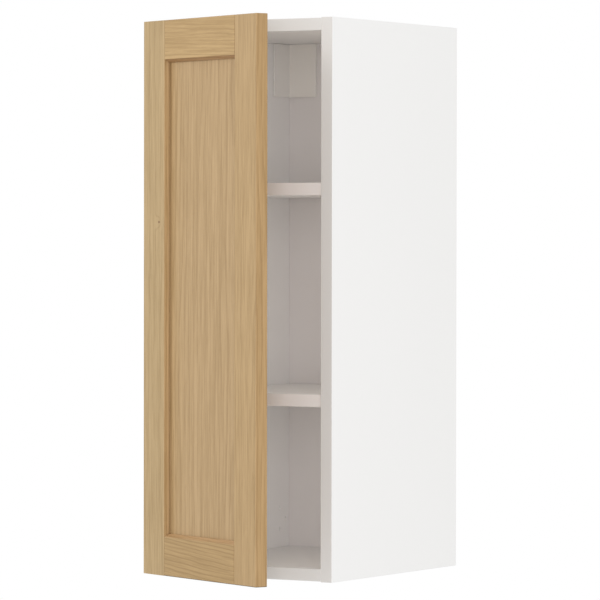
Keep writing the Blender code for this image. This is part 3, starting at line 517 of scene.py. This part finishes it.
# %% Oak for each piece of the door
ACROSS_SHIFT = HINGE_LINE - TO_CLOSED @ HINGE_LINE
LIGHTER = (1.12, 1.145, 1.20)
DARKER = (0.85, 0.83, 0.77)
OAK_PIECES = {
    # name: (grain runs across, lean in degrees, pith, ring spacing, rings, seed, colour)
    "left_stile": (False, 0.6, (0.22, 0.30, 0), 0.0065, 0.45, 11.0, (0.4071, 0.2789, 0.1304)),
    "right_stile": (False, -0.4, (-0.16, 0.25, 0), 0.0065, 0.45, 23.0, (0.4061, 0.2642, 0.1177)),
    "top_rail": (True, -0.9, (-0.02, 0.10, 0), 0.0052, 1.3, 37.0, (0.4219, 0.272, 0.1129)),
    "bottom_rail": (True, -3.2, (-0.70, 0.10, 0), 0.0052, 1.2, 53.0, (0.3735, 0.2386, 0.0973)),
    "panel": (False, -0.5, (0.42, 0.20, 0), 0.0085, 0.55, 71.0, (0.4071, 0.2676, 0.1257)),
    # Painted light: the hinge stile's narrow faces, the recess wall among them, are painted lighter
    # against the shade of the recess
    "left_stile_edge": (False, 0.6, (0.22, 0.30, 0), 0.0065, 0.9, 11.0, (0.4989, 0.3339, 0.1616)),
    "right_stile_edge": (False, -0.4, (-0.16, 0.25, 0), 0.0065, 0.9, 23.0, (0.4258, 0.2656, 0.1125)),
    # Painted shade on the top rail's downward slope, and painted light on the bottom rail's upward
    # slope
    "top_rail_edge": (True, -0.9, (-0.02, 0.10, 0), 0.0052, 0.9, 37.0, (0.343, 0.1935, 0.0830)),
    "bottom_rail_edge": (True, -3.2, (-0.70, 0.10, 0), 0.0052, 0.7, 53.0, (0.4392, 0.2690, 0.1255)),
    # Painted shade: a dark line on the lowest bend of the door
    "drip_line": (True, 0.0, (0.42, 0.20, 0), 0.0085, 0.5, 71.0, (0.085, 0.058, 0.028)),
}
PANEL_PLANE = -0.1965  # Y of the panel's front, with the door turned closed
KNOT_AT = Vector((-0.1071, -0.2060, 0.5092))
OAK_RELIEF = 0.06 * MM
SPECIAL = {
    "left_stile": {"Knot": KNOT_AT, "Knot Size": 3.6 * MM},
    # Painted shade in the corner where the hinge stile's recess wall meets the panel
    "left_stile_edge": {"Corner Depth": PANEL_PLANE, "Corner Shade": 0.30},
}
A_QUARTER = Matrix.Rotation(math.radians(-90), 3, "Y")
for piece, (across, lean, pith, spacing, rings, seed, tint) in OAK_PIECES.items():
    along = A_QUARTER if across else Matrix.Identity(3)
    turn = Matrix.Rotation(math.radians(lean), 3, "Y") @ along
    values = {"Pith": pith, "Ring Spacing": spacing, "Rings": rings, "Seed": seed}
    values["Light"] = (*(t * k for t, k in zip(tint, LIGHTER)), 1)
    values["Dark"] = (*(t * k for t, k in zip(tint, DARKER)), 1)
    values |= SPECIAL.get(piece, {})
    if "Knot" in values:
        values["Knot"] = turn @ values["Knot"]
    where = ((turn @ TO_CLOSED).to_euler(), turn @ ACROSS_SHIFT)
    finish(f"oak_{piece}", oak_group, values, OAK_RELIEF, place=where)
print("oak finishes:", len(OAK_PIECES))

# %% [markdown]
# ## Eased edges
# No board leaves a factory with a knife edge: foil and edge strip are trimmed to a small radius,
# and oak is broken with sandpaper. A mathematically sharp edge never catches the light, so this
# is the step that makes the boards look real. Each CAD solid is copied, its triangles are
# gathered back into flat faces, and a bevel rounds every edge. Edges on the outside of a piece
# may be rounded more than those in grooves and holes, by a weight on each edge.

# %% What every piece needs


def evaluated(obj, name):
    """The object with its modifiers applied, as a plain mesh on a new object."""
    bpy.context.view_layer.update()
    source = obj.evaluated_get(bpy.context.evaluated_depsgraph_get())
    mesh = bpy.data.meshes.new_from_object(source)
    mesh.name = name
    helper_mesh = obj.data
    bpy.data.objects.remove(obj)
    if not helper_mesh.users:
        bpy.data.meshes.remove(helper_mesh)
    made = bpy.data.objects.new(name, mesh)
    bpy.context.scene.collection.objects.link(made)
    return made


def settle(obj, slot, body, *nodes):
    """The last two calls for a finished piece: its CAD nodes are hidden and it is attached to its body.
    """
    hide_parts(*nodes)
    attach(obj, body)


print("helpers:", evaluated.__name__, settle.__name__)

# %% Rounded copies of the CAD solids
SHARP = math.radians(30)
SMOOTH = math.radians(50)
ON_THE_BOX = 0.01 * MM


def is_outer(ends, low, high):
    """Both ends of the edge lie on two or more faces of the solid's own box."""
    on_low = (np.abs(ends - low) < ON_THE_BOX).all(0)
    on_high = (np.abs(ends - high) < ON_THE_BOX).all(0)
    return (on_low | on_high).sum() >= 2


def rounded(name, node, look, slot, body, radius, inner=0.3, segments=3, change=None):
    """A copy of a CAD node with eased edges. Inner edges take a share of the radius.

    A change, where one is given, is made to the solid before its edges are eased.
    """
    bm = solid_of(node)
    if change:
        change(bm)
    weight = bm.edges.layers.float.new("bevel_weight_edge")
    turn = TO_CLOSED if body == "door" else Matrix.Identity(3)
    corners = np.array([turn @ vertex.co for vertex in bm.verts])
    low, high = corners.min(0), corners.max(0)
    for edge in bm.edges:
        if len(edge.link_faces) == 2 and edge.calc_face_angle(0) > SHARP:
            ends = np.array([turn @ vertex.co for vertex in edge.verts])
            edge[weight] = 1.0 if is_outer(ends, low, high) else inner
    mesh = bpy.data.meshes.new(name)
    bm.to_mesh(mesh)
    bm.free()
    helper = bpy.data.objects.new(f"{name}_helper", mesh)
    bpy.context.scene.collection.objects.link(helper)
    bevel = helper.modifiers.new("ease", "BEVEL")
    bevel.limit_method = "WEIGHT"
    bevel.width = radius
    bevel.segments = segments
    bevel.use_clamp_overlap = True
    mesh.shade_smooth()
    mesh.set_sharp_from_angle(angle=SMOOTH)
    normals = helper.modifiers.new("flat_faces", "WEIGHTED_NORMAL")
    normals.keep_sharp = True
    made = evaluated(helper, name)
    made.data.materials.clear()
    made.data.materials.append(FINISHES[look])
    settle(made, slot, body, node)
    return made


print("edges that turn by more than", round(math.degrees(SHARP)), "degrees are eased")

# %% [markdown]
# ## The carcass
# Two side boards, a top and a bottom between them, a thin back in a groove and two shelves. The
# side boards are bored for the shelf pins, the hinge plates and the hanging corners. Each has
# three more holes low at the back, which are spare. Nothing is screwed there, and they show as
# faint dots, so in this copy they are only 1.5 mm deep. The boards' edges are eased by 0.7 mm.

# %% Carcass boards
BOARDS = {
    "left_side_board": "side_panel_left",
    "right_side_board": "side_panel_right",
    "top_board": "top_panel",
    "bottom_board": "bottom_panel",
    "upper_shelf": "shelf_upper",
    "lower_shelf": "shelf_lower",
}
BOARD_EASE = 0.7 * MM
STRIP_DEPTH = 0.8 * MM
LOOKS_FORWARD = -0.3  # Y of the normal of a face that belongs to the front strip
SPARE_DEPTH = 1.5 * MM
SPARE_CORNER = (0.130, 0.100)  # the spare holes lie behind this depth and below this height
LARGEST_FLOOR = 25 * MM**2  # the dowels' holes are wider and stay deep


def shallow_spare_holes(bm):
    """Lift the floors of the spare holes. A floor looks into the cabinet, along X."""
    for face in bm.faces:
        middle = face.calc_center_median()
        in_corner = middle.y > SPARE_CORNER[0] and middle.z < SPARE_CORNER[1]
        if in_corner and abs(face.normal.x) > 0.99 and face.calc_area() < LARGEST_FLOOR:
            inside = max(vertex.co.x * face.normal.x for vertex in bm.verts)
            for vertex in face.verts:
                vertex.co.x = (inside - SPARE_DEPTH) * face.normal.x


for name, node in BOARDS.items():
    change = shallow_spare_holes if "side" in name else None
    board = rounded(name, node, "white_foil", "white_board", "root", BOARD_EASE, change=change)
    strip = "shelf_strip" if "shelf" in name else "edge_strip"
    board.data.materials.append(FINISHES[strip])
    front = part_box(node)[0].y
    # The front strip's finish holds painted shade as well as the strip's own tone
    for face in board.data.polygons:
        in_strip = face.center.y < front + STRIP_DEPTH and face.normal.y < LOOKS_FORWARD
        face.material_index = int(in_strip)
    print(name, len(board.data.polygons), "faces")
rounded("back_board", "back_panel", "white_paint", "white_hardboard", "root", 0.3 * MM)

# %% [markdown]
# ## The door
# Frame and panel is the old way to make a wide door that stays flat. The panel floats in grooves,
# the rails have short tenons, and only the frame is glued. Each rail slopes down to the panel
# along its inner edge, so no dust lies there, while the stiles drop straight. The bend of the lowest
# edge is painted in a dark line, as painted shade where it faces down. The pieces are turned with the
# door,
# so the tests for edges and narrow faces are done with the door turned closed.

# %% Door pieces
DOOR = {
    "door_left_stile": ("door_stile_hinge", "left_stile"),
    "door_right_stile": ("door_stile_free", "right_stile"),
    "door_top_rail": ("door_rail_top", "top_rail"),
    "door_bottom_rail": ("door_rail_bottom", "bottom_rail"),
    "door_centre_panel": ("door_panel", "panel"),
}
DOOR_EASE = 0.9 * MM
BROAD_FACE, EDGE_FACE, SHADED_BEND_FACE = 0, 1, 2  # places in a piece's list of materials
EDGEWAYS = 0.6
# Painted shade: faces on the lowest bend that look down take the dark line's finish
SHADED_BEND_HEIGHT = 1.0 * MM
SHADED_BEND_SLOPES = (-0.9, -0.2)
DOOR_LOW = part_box("door_stile_free")[0].z
for name, (node, piece) in DOOR.items():
    made = rounded(name, node, f"oak_{piece}", "oak", "door", DOOR_EASE, inner=0.5)
    if piece != "panel":
        made.data.materials.append(FINISHES[f"oak_{piece}_edge"])
        made.data.materials.append(FINISHES["oak_drip_line"])
        narrow = 2 if "rail" in piece else 0
        for face in made.data.polygons:
            facing = TO_CLOSED @ face.normal
            is_low = face.center.z < DOOR_LOW + SHADED_BEND_HEIGHT
            if is_low and SHADED_BEND_SLOPES[0] < facing.z < SHADED_BEND_SLOPES[1]:
                face.material_index = SHADED_BEND_FACE
            elif abs(facing[narrow]) > EDGEWAYS:
                face.material_index = EDGE_FACE
            else:
                face.material_index = BROAD_FACE
    print(name, len(made.data.polygons), "faces")

# %% [markdown]
# ## Hinges, plates and corners
# The sheet metal parts keep the shapes of the measured model and get the small radius that a
# press leaves. The covers are moulded, so their edges are rounder, and their broad front is painted a
# shade brighter than their sides, as painted light.

# %% Pressed and moulded parts
LEVELS = ("lower", "upper")
PRESSED = {"inner": 1.0, "segments": 2}
STEEL = "zinc_plated_steel"
THIN_EASE = 0.25 * MM
ARM_EASE = 0.4 * MM
PLATED = {
    # part of a hinge: (the body that it rides on, its radius)
    "cup": ("door", THIN_EASE),
    "arm": ("root", ARM_EASE),
    "plate": ("root", ARM_EASE),
}
for level in LEVELS:
    for kind, (body, ease) in PLATED.items():
        name, node = f"{level}_hinge_{kind}", f"hinge_{kind}_{level}"
        rounded(name, node, "nickel_plate", "nickel_plated", body, ease, **PRESSED)
    for link in ("outer", "inner"):
        name, node = f"{level}_{link}_link", f"hinge_link_{link}_{level}"
        rounded(name, node, "zinc_plate", STEEL, f"{link}_links", THIN_EASE, **PRESSED)
print("hinges:", LEVELS)

# %% Corners and door pads
SIDES = ("left", "right")
ENDS = ("low", "high")
CORNER_EASE = 0.3 * MM
COVER_EASE = 0.6 * MM
PAD_EASE = 0.5 * MM
LIT_FRONT_WAY = -0.7  # Y of the normal of a face on the cover's front
for side in SIDES:
    name, node = f"{side}_corner_cover", f"bracket_cover_{side}"
    cover = rounded(name, node, "moulded_plastic", "white_plastic", "root", COVER_EASE, inner=1.0)
    cover.data.materials.append(FINISHES["moulded_plastic_lit_front"])
    # Painted light: faces on the cover's front take the brighter finish
    half_way = sum(corner.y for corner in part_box(f"bracket_cover_{side}")) / 2
    for face in cover.data.polygons:
        face.material_index = int(face.normal.y < LIT_FRONT_WAY and face.center.y > half_way)
    name, node = f"{side}_hanging_corner", f"hanging_bracket_{side}"
    rounded(name, node, "zinc_plate", STEEL, "root", CORNER_EASE, **PRESSED)
    print(side, "corner, its cover with", len(cover.data.polygons), "faces")
for end in ENDS:
    name, node = f"door_pad_{end}", f"door_bumper_{end}"
    pad = rounded(name, node, "soft_silicone", "clear_silicone", "door", PAD_EASE, 1.0, segments=4)
    print(name, len(pad.data.polygons), "faces")

# %% [markdown]
# ## Turned fittings from one tree
# Screws, shelf pins, dowels and hanging bolts are all made in a lathe or by rolling: a head, a
# shank, perhaps a thread, flutes or six flats. One Geometry Nodes tree makes them all. It rolls a
# flat grid into a tube whose radius changes from ring to ring, cuts the cross for a driver out of
# the head, and sets a copy on every point of the input mesh, turned to the point's own direction.
# Its sizes are named inputs, so each kind of fitting is one modifier with its own numbers.

# %% Fitting tree
FITTING_INPUTS = {
    "Points": ("Geometry", None),
    "Head Radius": ("Float", 0.004),
    "Head Height": ("Float", 0.002),
    "Shank Radius": ("Float", 0.002),
    "Shank Length": ("Float", 0.010),
    "Chamfer": ("Float", 0.0004),
    "Corners": ("Int", 0),
    "Around": ("Int", 24),
    "Shank Rings": ("Int", 24),
    "Thread Pitch": ("Float", 0.002),
    "Thread Depth": ("Float", 0.0),
    "Flutes": ("Int", 0),
    "Flute Depth": ("Float", 0.0),
    "Cross Size": ("Float", 0.0),
    "Cross Depth": ("Float", 0.001),
    "Finish": ("Material", None),
}
fitting_tree, w, given, result = new_group(
    "turned_fitting", "GeometryNodeTree", FITTING_INPUTS, {"Fittings": ("Geometry", None)}
)
HEAD_RINGS = 6  # a pole, four rings of the head and one where the shank starts
around = w.maths("ADD", given["Around"], 1.0)
ring_count = w.maths("ADD", given["Shank Rings"], HEAD_RINGS + 2.0)
grid = w.add("GeometryNodeMeshGrid", {"Vertices X": ring_count, "Vertices Y": around})
index = w.add("GeometryNodeInputIndex")
ring = w.maths("FLOOR", w.maths("DIVIDE", w.maths("ADD", index, 0.5), around))
place_in_ring = w.maths("SUBTRACT", index, w.maths("MULTIPLY", ring, around))
angle = w.maths("MULTIPLY", w.maths("DIVIDE", place_in_ring, given["Around"]), math.tau)
print("inputs of a fitting:", len(FITTING_INPUTS))

# %% The head, from its middle out to its rim and in again underneath


def pick(values):
    """The value for this ring, or the last value past the end."""
    table = w.add("GeometryNodeIndexSwitch", None, None, data_type="FLOAT")
    while len(table.index_switch_items) < len(values):
        table.index_switch_items.new()
    last = len(values) - 1
    w.tree.links.new(w.maths("MINIMUM", ring, float(last)), table.inputs[0])
    for number, value in enumerate(values):
        if isinstance(value, bpy.types.NodeSocket):
            w.tree.links.new(value, table.inputs[number + 1])
        else:
            table.inputs[number + 1].default_value = value
    return table.outputs[0]


UNDERSIDE_SHARE = 0.3  # of the chamfer
full_radius, full_height = given["Head Radius"], given["Head Height"]
inset = w.maths("SUBTRACT", full_radius, given["Chamfer"])
lower_edge = w.maths("SUBTRACT", full_height, given["Chamfer"])
under = w.maths("MULTIPLY", given["Chamfer"], UNDERSIDE_SHARE)
head_radius = pick([0.0, inset, full_radius, full_radius, inset, given["Shank Radius"]])
head_height = pick([full_height, full_height, lower_edge, under, 0.0, 0.0])
print("rings in a head:", HEAD_RINGS)

# %% Down the shank: a helix of thread, then a tip


def choose(test, otherwise, chosen, kind="FLOAT"):
    """The chosen value where the test holds."""
    return w.add("GeometryNodeSwitch", {0: test, 1: otherwise, 2: chosen}, input_type=kind)


THREAD_FULL, TIP_STARTS = 0.05, 0.90  # shares of the shank
TIP_SHARE = 0.9  # of the chamfer
past_head_rings = w.maths("SUBTRACT", ring, float(HEAD_RINGS - 1))
shank_share = w.maths("DIVIDE", past_head_rings, given["Shank Rings"], clamp=True)
shank_height = w.maths("MULTIPLY", w.maths("MULTIPLY", shank_share, given["Shank Length"]), -1.0)
threads_down = w.maths("DIVIDE", shank_height, given["Thread Pitch"])
turns = w.maths("ADD", threads_down, w.maths("DIVIDE", angle, math.tau))
valley = w.maths("ABSOLUTE", w.maths("MULTIPLY_ADD", w.maths("FRACT", turns), 2.0, -1.0))
thread = w.maths("MULTIPLY", valley, given["Thread Depth"])
cut = w.maths("MULTIPLY", thread, w.remap(shank_share, 0.0, THREAD_FULL))
near_tip = w.remap(shank_share, TIP_STARTS, 1.0)
tip_cut = w.maths("MULTIPLY", near_tip, w.maths("MULTIPLY", given["Chamfer"], TIP_SHARE))
shank_radius = w.maths("SUBTRACT", w.maths("SUBTRACT", given["Shank Radius"], cut), tip_cut)
past_head = w.maths("GREATER_THAN", ring, HEAD_RINGS - 0.5)
closing = w.maths("LESS_THAN", ring, w.maths("SUBTRACT", ring_count, 1.5))
radius = w.maths("MULTIPLY", choose(past_head, head_radius, shank_radius), closing)
height = choose(past_head, head_height, shank_height)
print("head and shank:", len(fitting_tree.nodes), "nodes so far")

# %% Flats round a bolt head, and flutes along a dowel
TOUCHING = 0.001 * MM
side = w.maths("DIVIDE", math.tau, w.maths("MAXIMUM", given["Corners"], 1.0))
half_side = w.maths("MULTIPLY", side, 0.5)
within = w.maths("SUBTRACT", w.maths("MODULO", angle, side), half_side)
polygon = w.maths("DIVIDE", w.maths("COSINE", half_side), w.maths("COSINE", within))
in_head = w.maths("LESS_THAN", ring, HEAD_RINGS - 1.5)
has_corners = w.maths("MULTIPLY", w.maths("GREATER_THAN", given["Corners"], 2.0), in_head)
radius = choose(has_corners, radius, w.maths("MULTIPLY", radius, polygon))
wave = w.maths("MULTIPLY", w.maths("COSINE", w.maths("MULTIPLY", angle, given["Flutes"])), 0.5)
groove = w.maths("MULTIPLY", w.maths("SUBTRACT", wave, 0.5), given["Flute Depth"])
radius = w.maths("MAXIMUM", w.maths("MULTIPLY_ADD", groove, closing, radius), 0.0)
across = w.maths("MULTIPLY", radius, w.maths("COSINE", angle))
upward = w.maths("MULTIPLY", radius, w.maths("SINE", angle))
position = w.add("ShaderNodeCombineXYZ", {0: across, 1: upward, 2: height})
rolled = w.add("GeometryNodeSetPosition", {"Geometry": grid, "Position": position})
closed = w.add("GeometryNodeMergeByDistance", {"Geometry": rolled, "Distance": TOUCHING})
print("rolled and closed:", len(fitting_tree.nodes), "nodes so far")

# %% The driver's cross: two crossed blades, cut out of the head
BLADE_SHARE = 0.22  # a blade's width against its length
blade_width = w.maths("MULTIPLY", given["Cross Size"], BLADE_SHARE)
blade_height = w.maths("MULTIPLY", given["Cross Depth"], 2.0)
blades = []
for long_axis in (0, 1):
    sizes = {0: blade_width, 1: blade_width, 2: blade_height}
    sizes[long_axis] = given["Cross Size"]
    box = w.add("GeometryNodeMeshCube", {"Size": w.add("ShaderNodeCombineXYZ", sizes)})
    lift = w.add("ShaderNodeCombineXYZ", {2: given["Head Height"]})
    blades.append(w.add("GeometryNodeTransform", {"Geometry": box, "Translation": lift}))
with_cross = w.add(
    "GeometryNodeMeshBoolean", {"Mesh 1": closed}, None, operation="DIFFERENCE", solver="EXACT"
)
for blade in blades:
    w.tree.links.new(blade, with_cross.inputs["Mesh 2"])
wants_cross = w.maths("GREATER_THAN", given["Cross Size"], 0.0)
part = choose(wants_cross, closed, with_cross.outputs[0], "GEOMETRY")

# One copy on each point, turned so that its head looks along the point's own direction
axis = w.add("GeometryNodeInputNamedAttribute", {"Name": "axis"}, data_type="FLOAT_VECTOR")
turned = w.add("FunctionNodeAlignRotationToVector", {"Vector": axis}, axis="Z")
placing = {"Points": given["Points"], "Instance": part, "Rotation": turned}
copies = w.add("GeometryNodeInstanceOnPoints", placing)
real = w.add("GeometryNodeRealizeInstances", {"Geometry": copies})
finished = w.add("GeometryNodeSetMaterial", {"Geometry": real, "Material": given["Finish"]})
deliver(w, result, Fittings=finished)
print("turned_fitting:", len(fitting_tree.nodes), "nodes")

# %% [markdown]
# ## Where each fitting goes
# Each fitting in the measured model is a plain round solid. Its middle, and how far its head
# reaches from there along the direction in which it points, give one point with a direction.

# %% Fitting helper
FITTING_SMOOTH = math.radians(40)


def measure(node, direction):
    """The middle of a round solid, and how far it reaches from there along a direction."""
    vertices = frame["nodes"][node].data.vertices
    corners = np.unique(np.round([tuple(vertex.co) for vertex in vertices], 6), axis=0)
    direction = np.array(direction, float)
    direction /= np.linalg.norm(direction)
    middle = corners.mean(0)
    return middle, ((corners - middle) @ direction).max()


def fittings(name, body, slot, look, nodes, sizes):
    """One mesh of equal fittings. nodes maps a CAD node to the direction that its head points."""
    points = []
    directions = []
    for node, direction in nodes.items():
        direction = Vector(direction).normalized()
        middle, reach = measure(node, direction)
        top = Vector(middle) + direction * reach
        points.append(top - direction * sizes["Head Height"])
        directions.append(direction)
    mesh = bpy.data.meshes.new(f"{name}_points")
    mesh.from_pydata(points, [], [])
    attribute = mesh.attributes.new("axis", "FLOAT_VECTOR", "POINT")
    attribute.data.foreach_set("vector", [c for d in directions for c in d])
    helper = bpy.data.objects.new(f"{name}_helper", mesh)
    bpy.context.scene.collection.objects.link(helper)
    modifier = helper.modifiers.new("fittings", "NODES")
    modifier.node_group = fitting_tree
    for item in fitting_tree.interface.items_tree:
        if item.in_out == "INPUT" and item.name in sizes:
            modifier[item.identifier] = sizes[item.name]
        if item.in_out == "INPUT" and item.name == "Finish":
            modifier[item.identifier] = FINISHES[look]
    made = evaluated(helper, name)
    made.data.shade_smooth()
    made.data.set_sharp_from_angle(angle=FITTING_SMOOTH)
    settle(made, slot, body, *nodes)
    print(name, "of", len(points), "with", len(made.data.polygons), "faces")
    return made


print("helpers:", measure.__name__, fittings.__name__)

# %% [markdown]
# ## Screws, pins, dowels and bolts
# Flat-headed screws hold the hinges and the corners. Shelf pins are smooth steel. Dowels are
# beech with flutes that let the glue out, and their ends are chamfered to find the hole. The
# cabinet hangs on two bolts with six-sided heads, whose thread shows behind the back.

# %% Place the fittings
INWARD = {"left": (1, 0, 0), "right": (-1, 0, 0)}
door_back = TO_CLOSED.transposed() @ Vector((0, 1, 0))
LINES = ("front", "rear")
SCREW = {
    "Head Radius": 4.2 * MM,
    "Head Height": 1.7 * MM,
    "Shank Radius": 2.2 * MM,
    "Shank Length": 9.8 * MM,
    "Chamfer": 0.6 * MM,
    "Shank Rings": 30,
    "Thread Pitch": 1.8 * MM,
    "Thread Depth": 0.5 * MM,
    "Cross Size": 4.6 * MM,
    "Cross Depth": 1.0 * MM,
}
THIN_HEAD = SCREW | {
    "Head Height": 1.5 * MM,
    "Shank Length": 10.8 * MM,
    "Cross Depth": 0.9 * MM,
}
SMALL_HEAD = SCREW | {
    "Head Radius": 3.5 * MM,
    "Head Height": 1.4 * MM,
    "Shank Length": 10.9 * MM,
    "Cross Size": 4.0 * MM,
}
hinge_screws = {f"plate_screw_{level}_{end}": INWARD["left"] for level in LEVELS for end in ENDS}
hinge_screws |= {f"arm_screw_{level}": INWARD["left"] for level in LEVELS}
fittings("hinge_screws", "root", STEEL, "zinc_plate", hinge_screws, SCREW)
corner_screws = {f"bracket_screw_{side}_{end}": INWARD[side] for side in SIDES for end in ENDS}
fittings("corner_screws", "root", STEEL, "zinc_plate", corner_screws, THIN_HEAD)
cup_screws = {f"cup_screw_{level}_{end}": door_back for level in LEVELS for end in ENDS}
fittings("cup_screws", "door", STEEL, "zinc_plate", cup_screws, SMALL_HEAD)

# %% Pins, dowels and bolts
PIN = {
    "Head Radius": 3.5 * MM,
    "Head Height": 9.2 * MM,
    "Shank Radius": 2.2 * MM,
    "Shank Length": 8.2 * MM,
    "Chamfer": 0.5 * MM,
    "Shank Rings": 4,
}
pins = {
    f"shelf_pin_{level}_{side}_{line}": INWARD[side]
    for level in LEVELS
    for side in SIDES
    for line in LINES
}
fittings("shelf_pins", "root", STEEL, "pin_plate", pins, PIN)
DOWEL = {
    "Head Radius": 4.0 * MM,
    "Head Height": 17.0 * MM,
    "Shank Radius": 4.0 * MM,
    "Shank Length": 17.0 * MM,
    "Chamfer": 0.8 * MM,
    "Shank Rings": 4,
    "Around": 48,
    "Flutes": 12,
    "Flute Depth": 0.35 * MM,
}
dowels = {
    f"dowel_{cap}_{line}_{side}": INWARD[side]
    for cap in ("bottom", "top")
    for line in LINES
    for side in SIDES
}
fittings("corner_dowels", "root", "beech", "beech_wood", dowels, DOWEL)
BOLT_HEAD = 5.0 * MM
bolt_low, bolt_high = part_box("hanging_bolt_left")
BOLT = {
    "Head Radius": 7.5 * MM,
    "Head Height": BOLT_HEAD,
    "Shank Radius": 4.0 * MM,
    "Shank Length": bolt_high.y - bolt_low.y - BOLT_HEAD,
    "Chamfer": 0.6 * MM,
    "Corners": 6,
    "Around": 36,
    "Shank Rings": 48,
    "Thread Pitch": 1.25 * MM,
    "Thread Depth": 0.6 * MM,
}
bolts = {f"hanging_bolt_{side}": (0, -1, 0) for side in SIDES}
fittings("hanging_bolts", "root", STEEL, "zinc_plate", bolts, BOLT)

# %% [markdown]
# ## The room
# The cabinet hangs, so the floor is a long way below it and catches no shadow. It is a pale disc.
# The room is a white studio: the camera sees pure white behind the cabinet, while the light that
# reaches the cabinet from all round is a little weaker, so that its own white stays off-white.

# %% Floor and surroundings
FLOOR_BELOW = 1.35
FLOOR_RADIUS = 4.0
FLOOR_SIDES = 96
FLOOR_GREY = (0.80, 0.80, 0.80, 1)
bm = bmesh.new()
floor_place = Matrix.Translation((0, 0, -FLOOR_BELOW))
bmesh.ops.create_circle(
    bm, cap_ends=True, segments=FLOOR_SIDES, radius=FLOOR_RADIUS, matrix=floor_place
)
floor_mesh = bpy.data.meshes.new("pale_floor")
bm.to_mesh(floor_mesh)
bm.free()
floor = bpy.data.objects.new("pale_floor", floor_mesh)
bpy.context.scene.collection.objects.link(floor)
paint = bpy.data.materials.new("pale_floor")
paint.use_nodes = True
shader = paint.node_tree.nodes["Principled BSDF"]
shader.inputs["Base Color"].default_value = FLOOR_GREY
shader.inputs["Roughness"].default_value = 0.9
floor_mesh.materials.append(paint)
floor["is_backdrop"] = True
print("floor:", FLOOR_BELOW, "m below the cabinet")

# %% A white room
SEEN_WHITE = {"Color": (1, 1, 1, 1), "Strength": 1.0}
SOFT_WHITE = {"Color": (0.985, 0.995, 0.99, 1), "Strength": 0.87}
world = bpy.data.worlds.new("white_studio")
bpy.context.scene.world = world
world.use_nodes = True
w = Wiring(world.node_tree)
seen = w.add("ShaderNodeLightPath")
glow = w.add("ShaderNodeBackground", SEEN_WHITE)
soft = w.add("ShaderNodeBackground", SOFT_WHITE)
mixed = w.add("ShaderNodeMixShader", {0: seen, 1: soft, 2: glow})
w.tree.links.new(mixed, world.node_tree.nodes["World Output"].inputs["Surface"])
bpy.context.scene.view_settings.view_transform = "Standard"
print("room:", world.name, "at", SOFT_WHITE["Strength"], "of full white")

# %% [markdown]
# ## Soft lights
# A broad panel near the camera lights the tall side and the door. One high on the left draws the
# short shadow under the top rail, and a weak one high on the right keeps that shadow open. A lone
# studio light would leave the inside of the box almost black, so two faint panels stand inside
# it. Nobody sees them: they are hidden from the camera and from reflections.

# %% Lights


def soft_light(name, at, towards, size, power, colour, hidden):
    """A flat light that faces a point. No camera sees it, and a hidden one casts no reflection."""
    data = bpy.data.lights.new(name, "AREA")
    data.shape = "RECTANGLE"
    data.size, data.size_y = size
    data.energy = power
    data.color = colour
    light = bpy.data.objects.new(name, data)
    bpy.context.scene.collection.objects.link(light)
    light.location = at
    light.rotation_euler = (Vector(towards) - Vector(at)).to_track_quat("-Z", "Y").to_euler()
    light.visible_camera = False
    light.visible_glossy = not hidden
    return light


MIDDLE = (0, 0, 0.4)
WHITE = (1, 1, 1)
ROSE = (1.0, 0.94, 0.965)
WARM = (1.0, 0.935, 0.88)
WARMER = (1.0, 0.925, 0.86)
LIGHTS = {
    # name: (place, the point that it faces, width and height, watts, colour, hidden)
    "near_camera": ((2.2, -3.8, 0.6), MIDDLE, (1.6, 1.6), 44.0, ROSE, False),
    "high_left": ((-2.6, -1.9, 2.1), MIDDLE, (0.9, 0.9), 33.0, WHITE, False),
    "high_right": ((2.0, -3.0, 2.0), MIDDLE, (0.8, 0.8), 5.0, WHITE, False),
    "inner_glow": ((0.129, 0, 0.39), (-0.1, 0, 0.39), (0.32, 0.77), 0.267, WARM, True),
    "opening_glow": ((0.03, -0.18, 0.385), (0.03, 0, 0.385), (0.2, 0.75), 0.079, WARMER, True),
}
for name, values in LIGHTS.items():
    soft_light(name, *values)

# %% [markdown]
# ## Check and finish
# The finished pieces have to fill the same box as the measured model, so both boxes are written
# down side by side.

# %% Sizes and finish
boxes = {"cad": CAD_BOX, "visual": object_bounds()}
for name, box in boxes.items():
    print(name, "box:", [[round(float(c), 4) for c in corner] for corner in box])
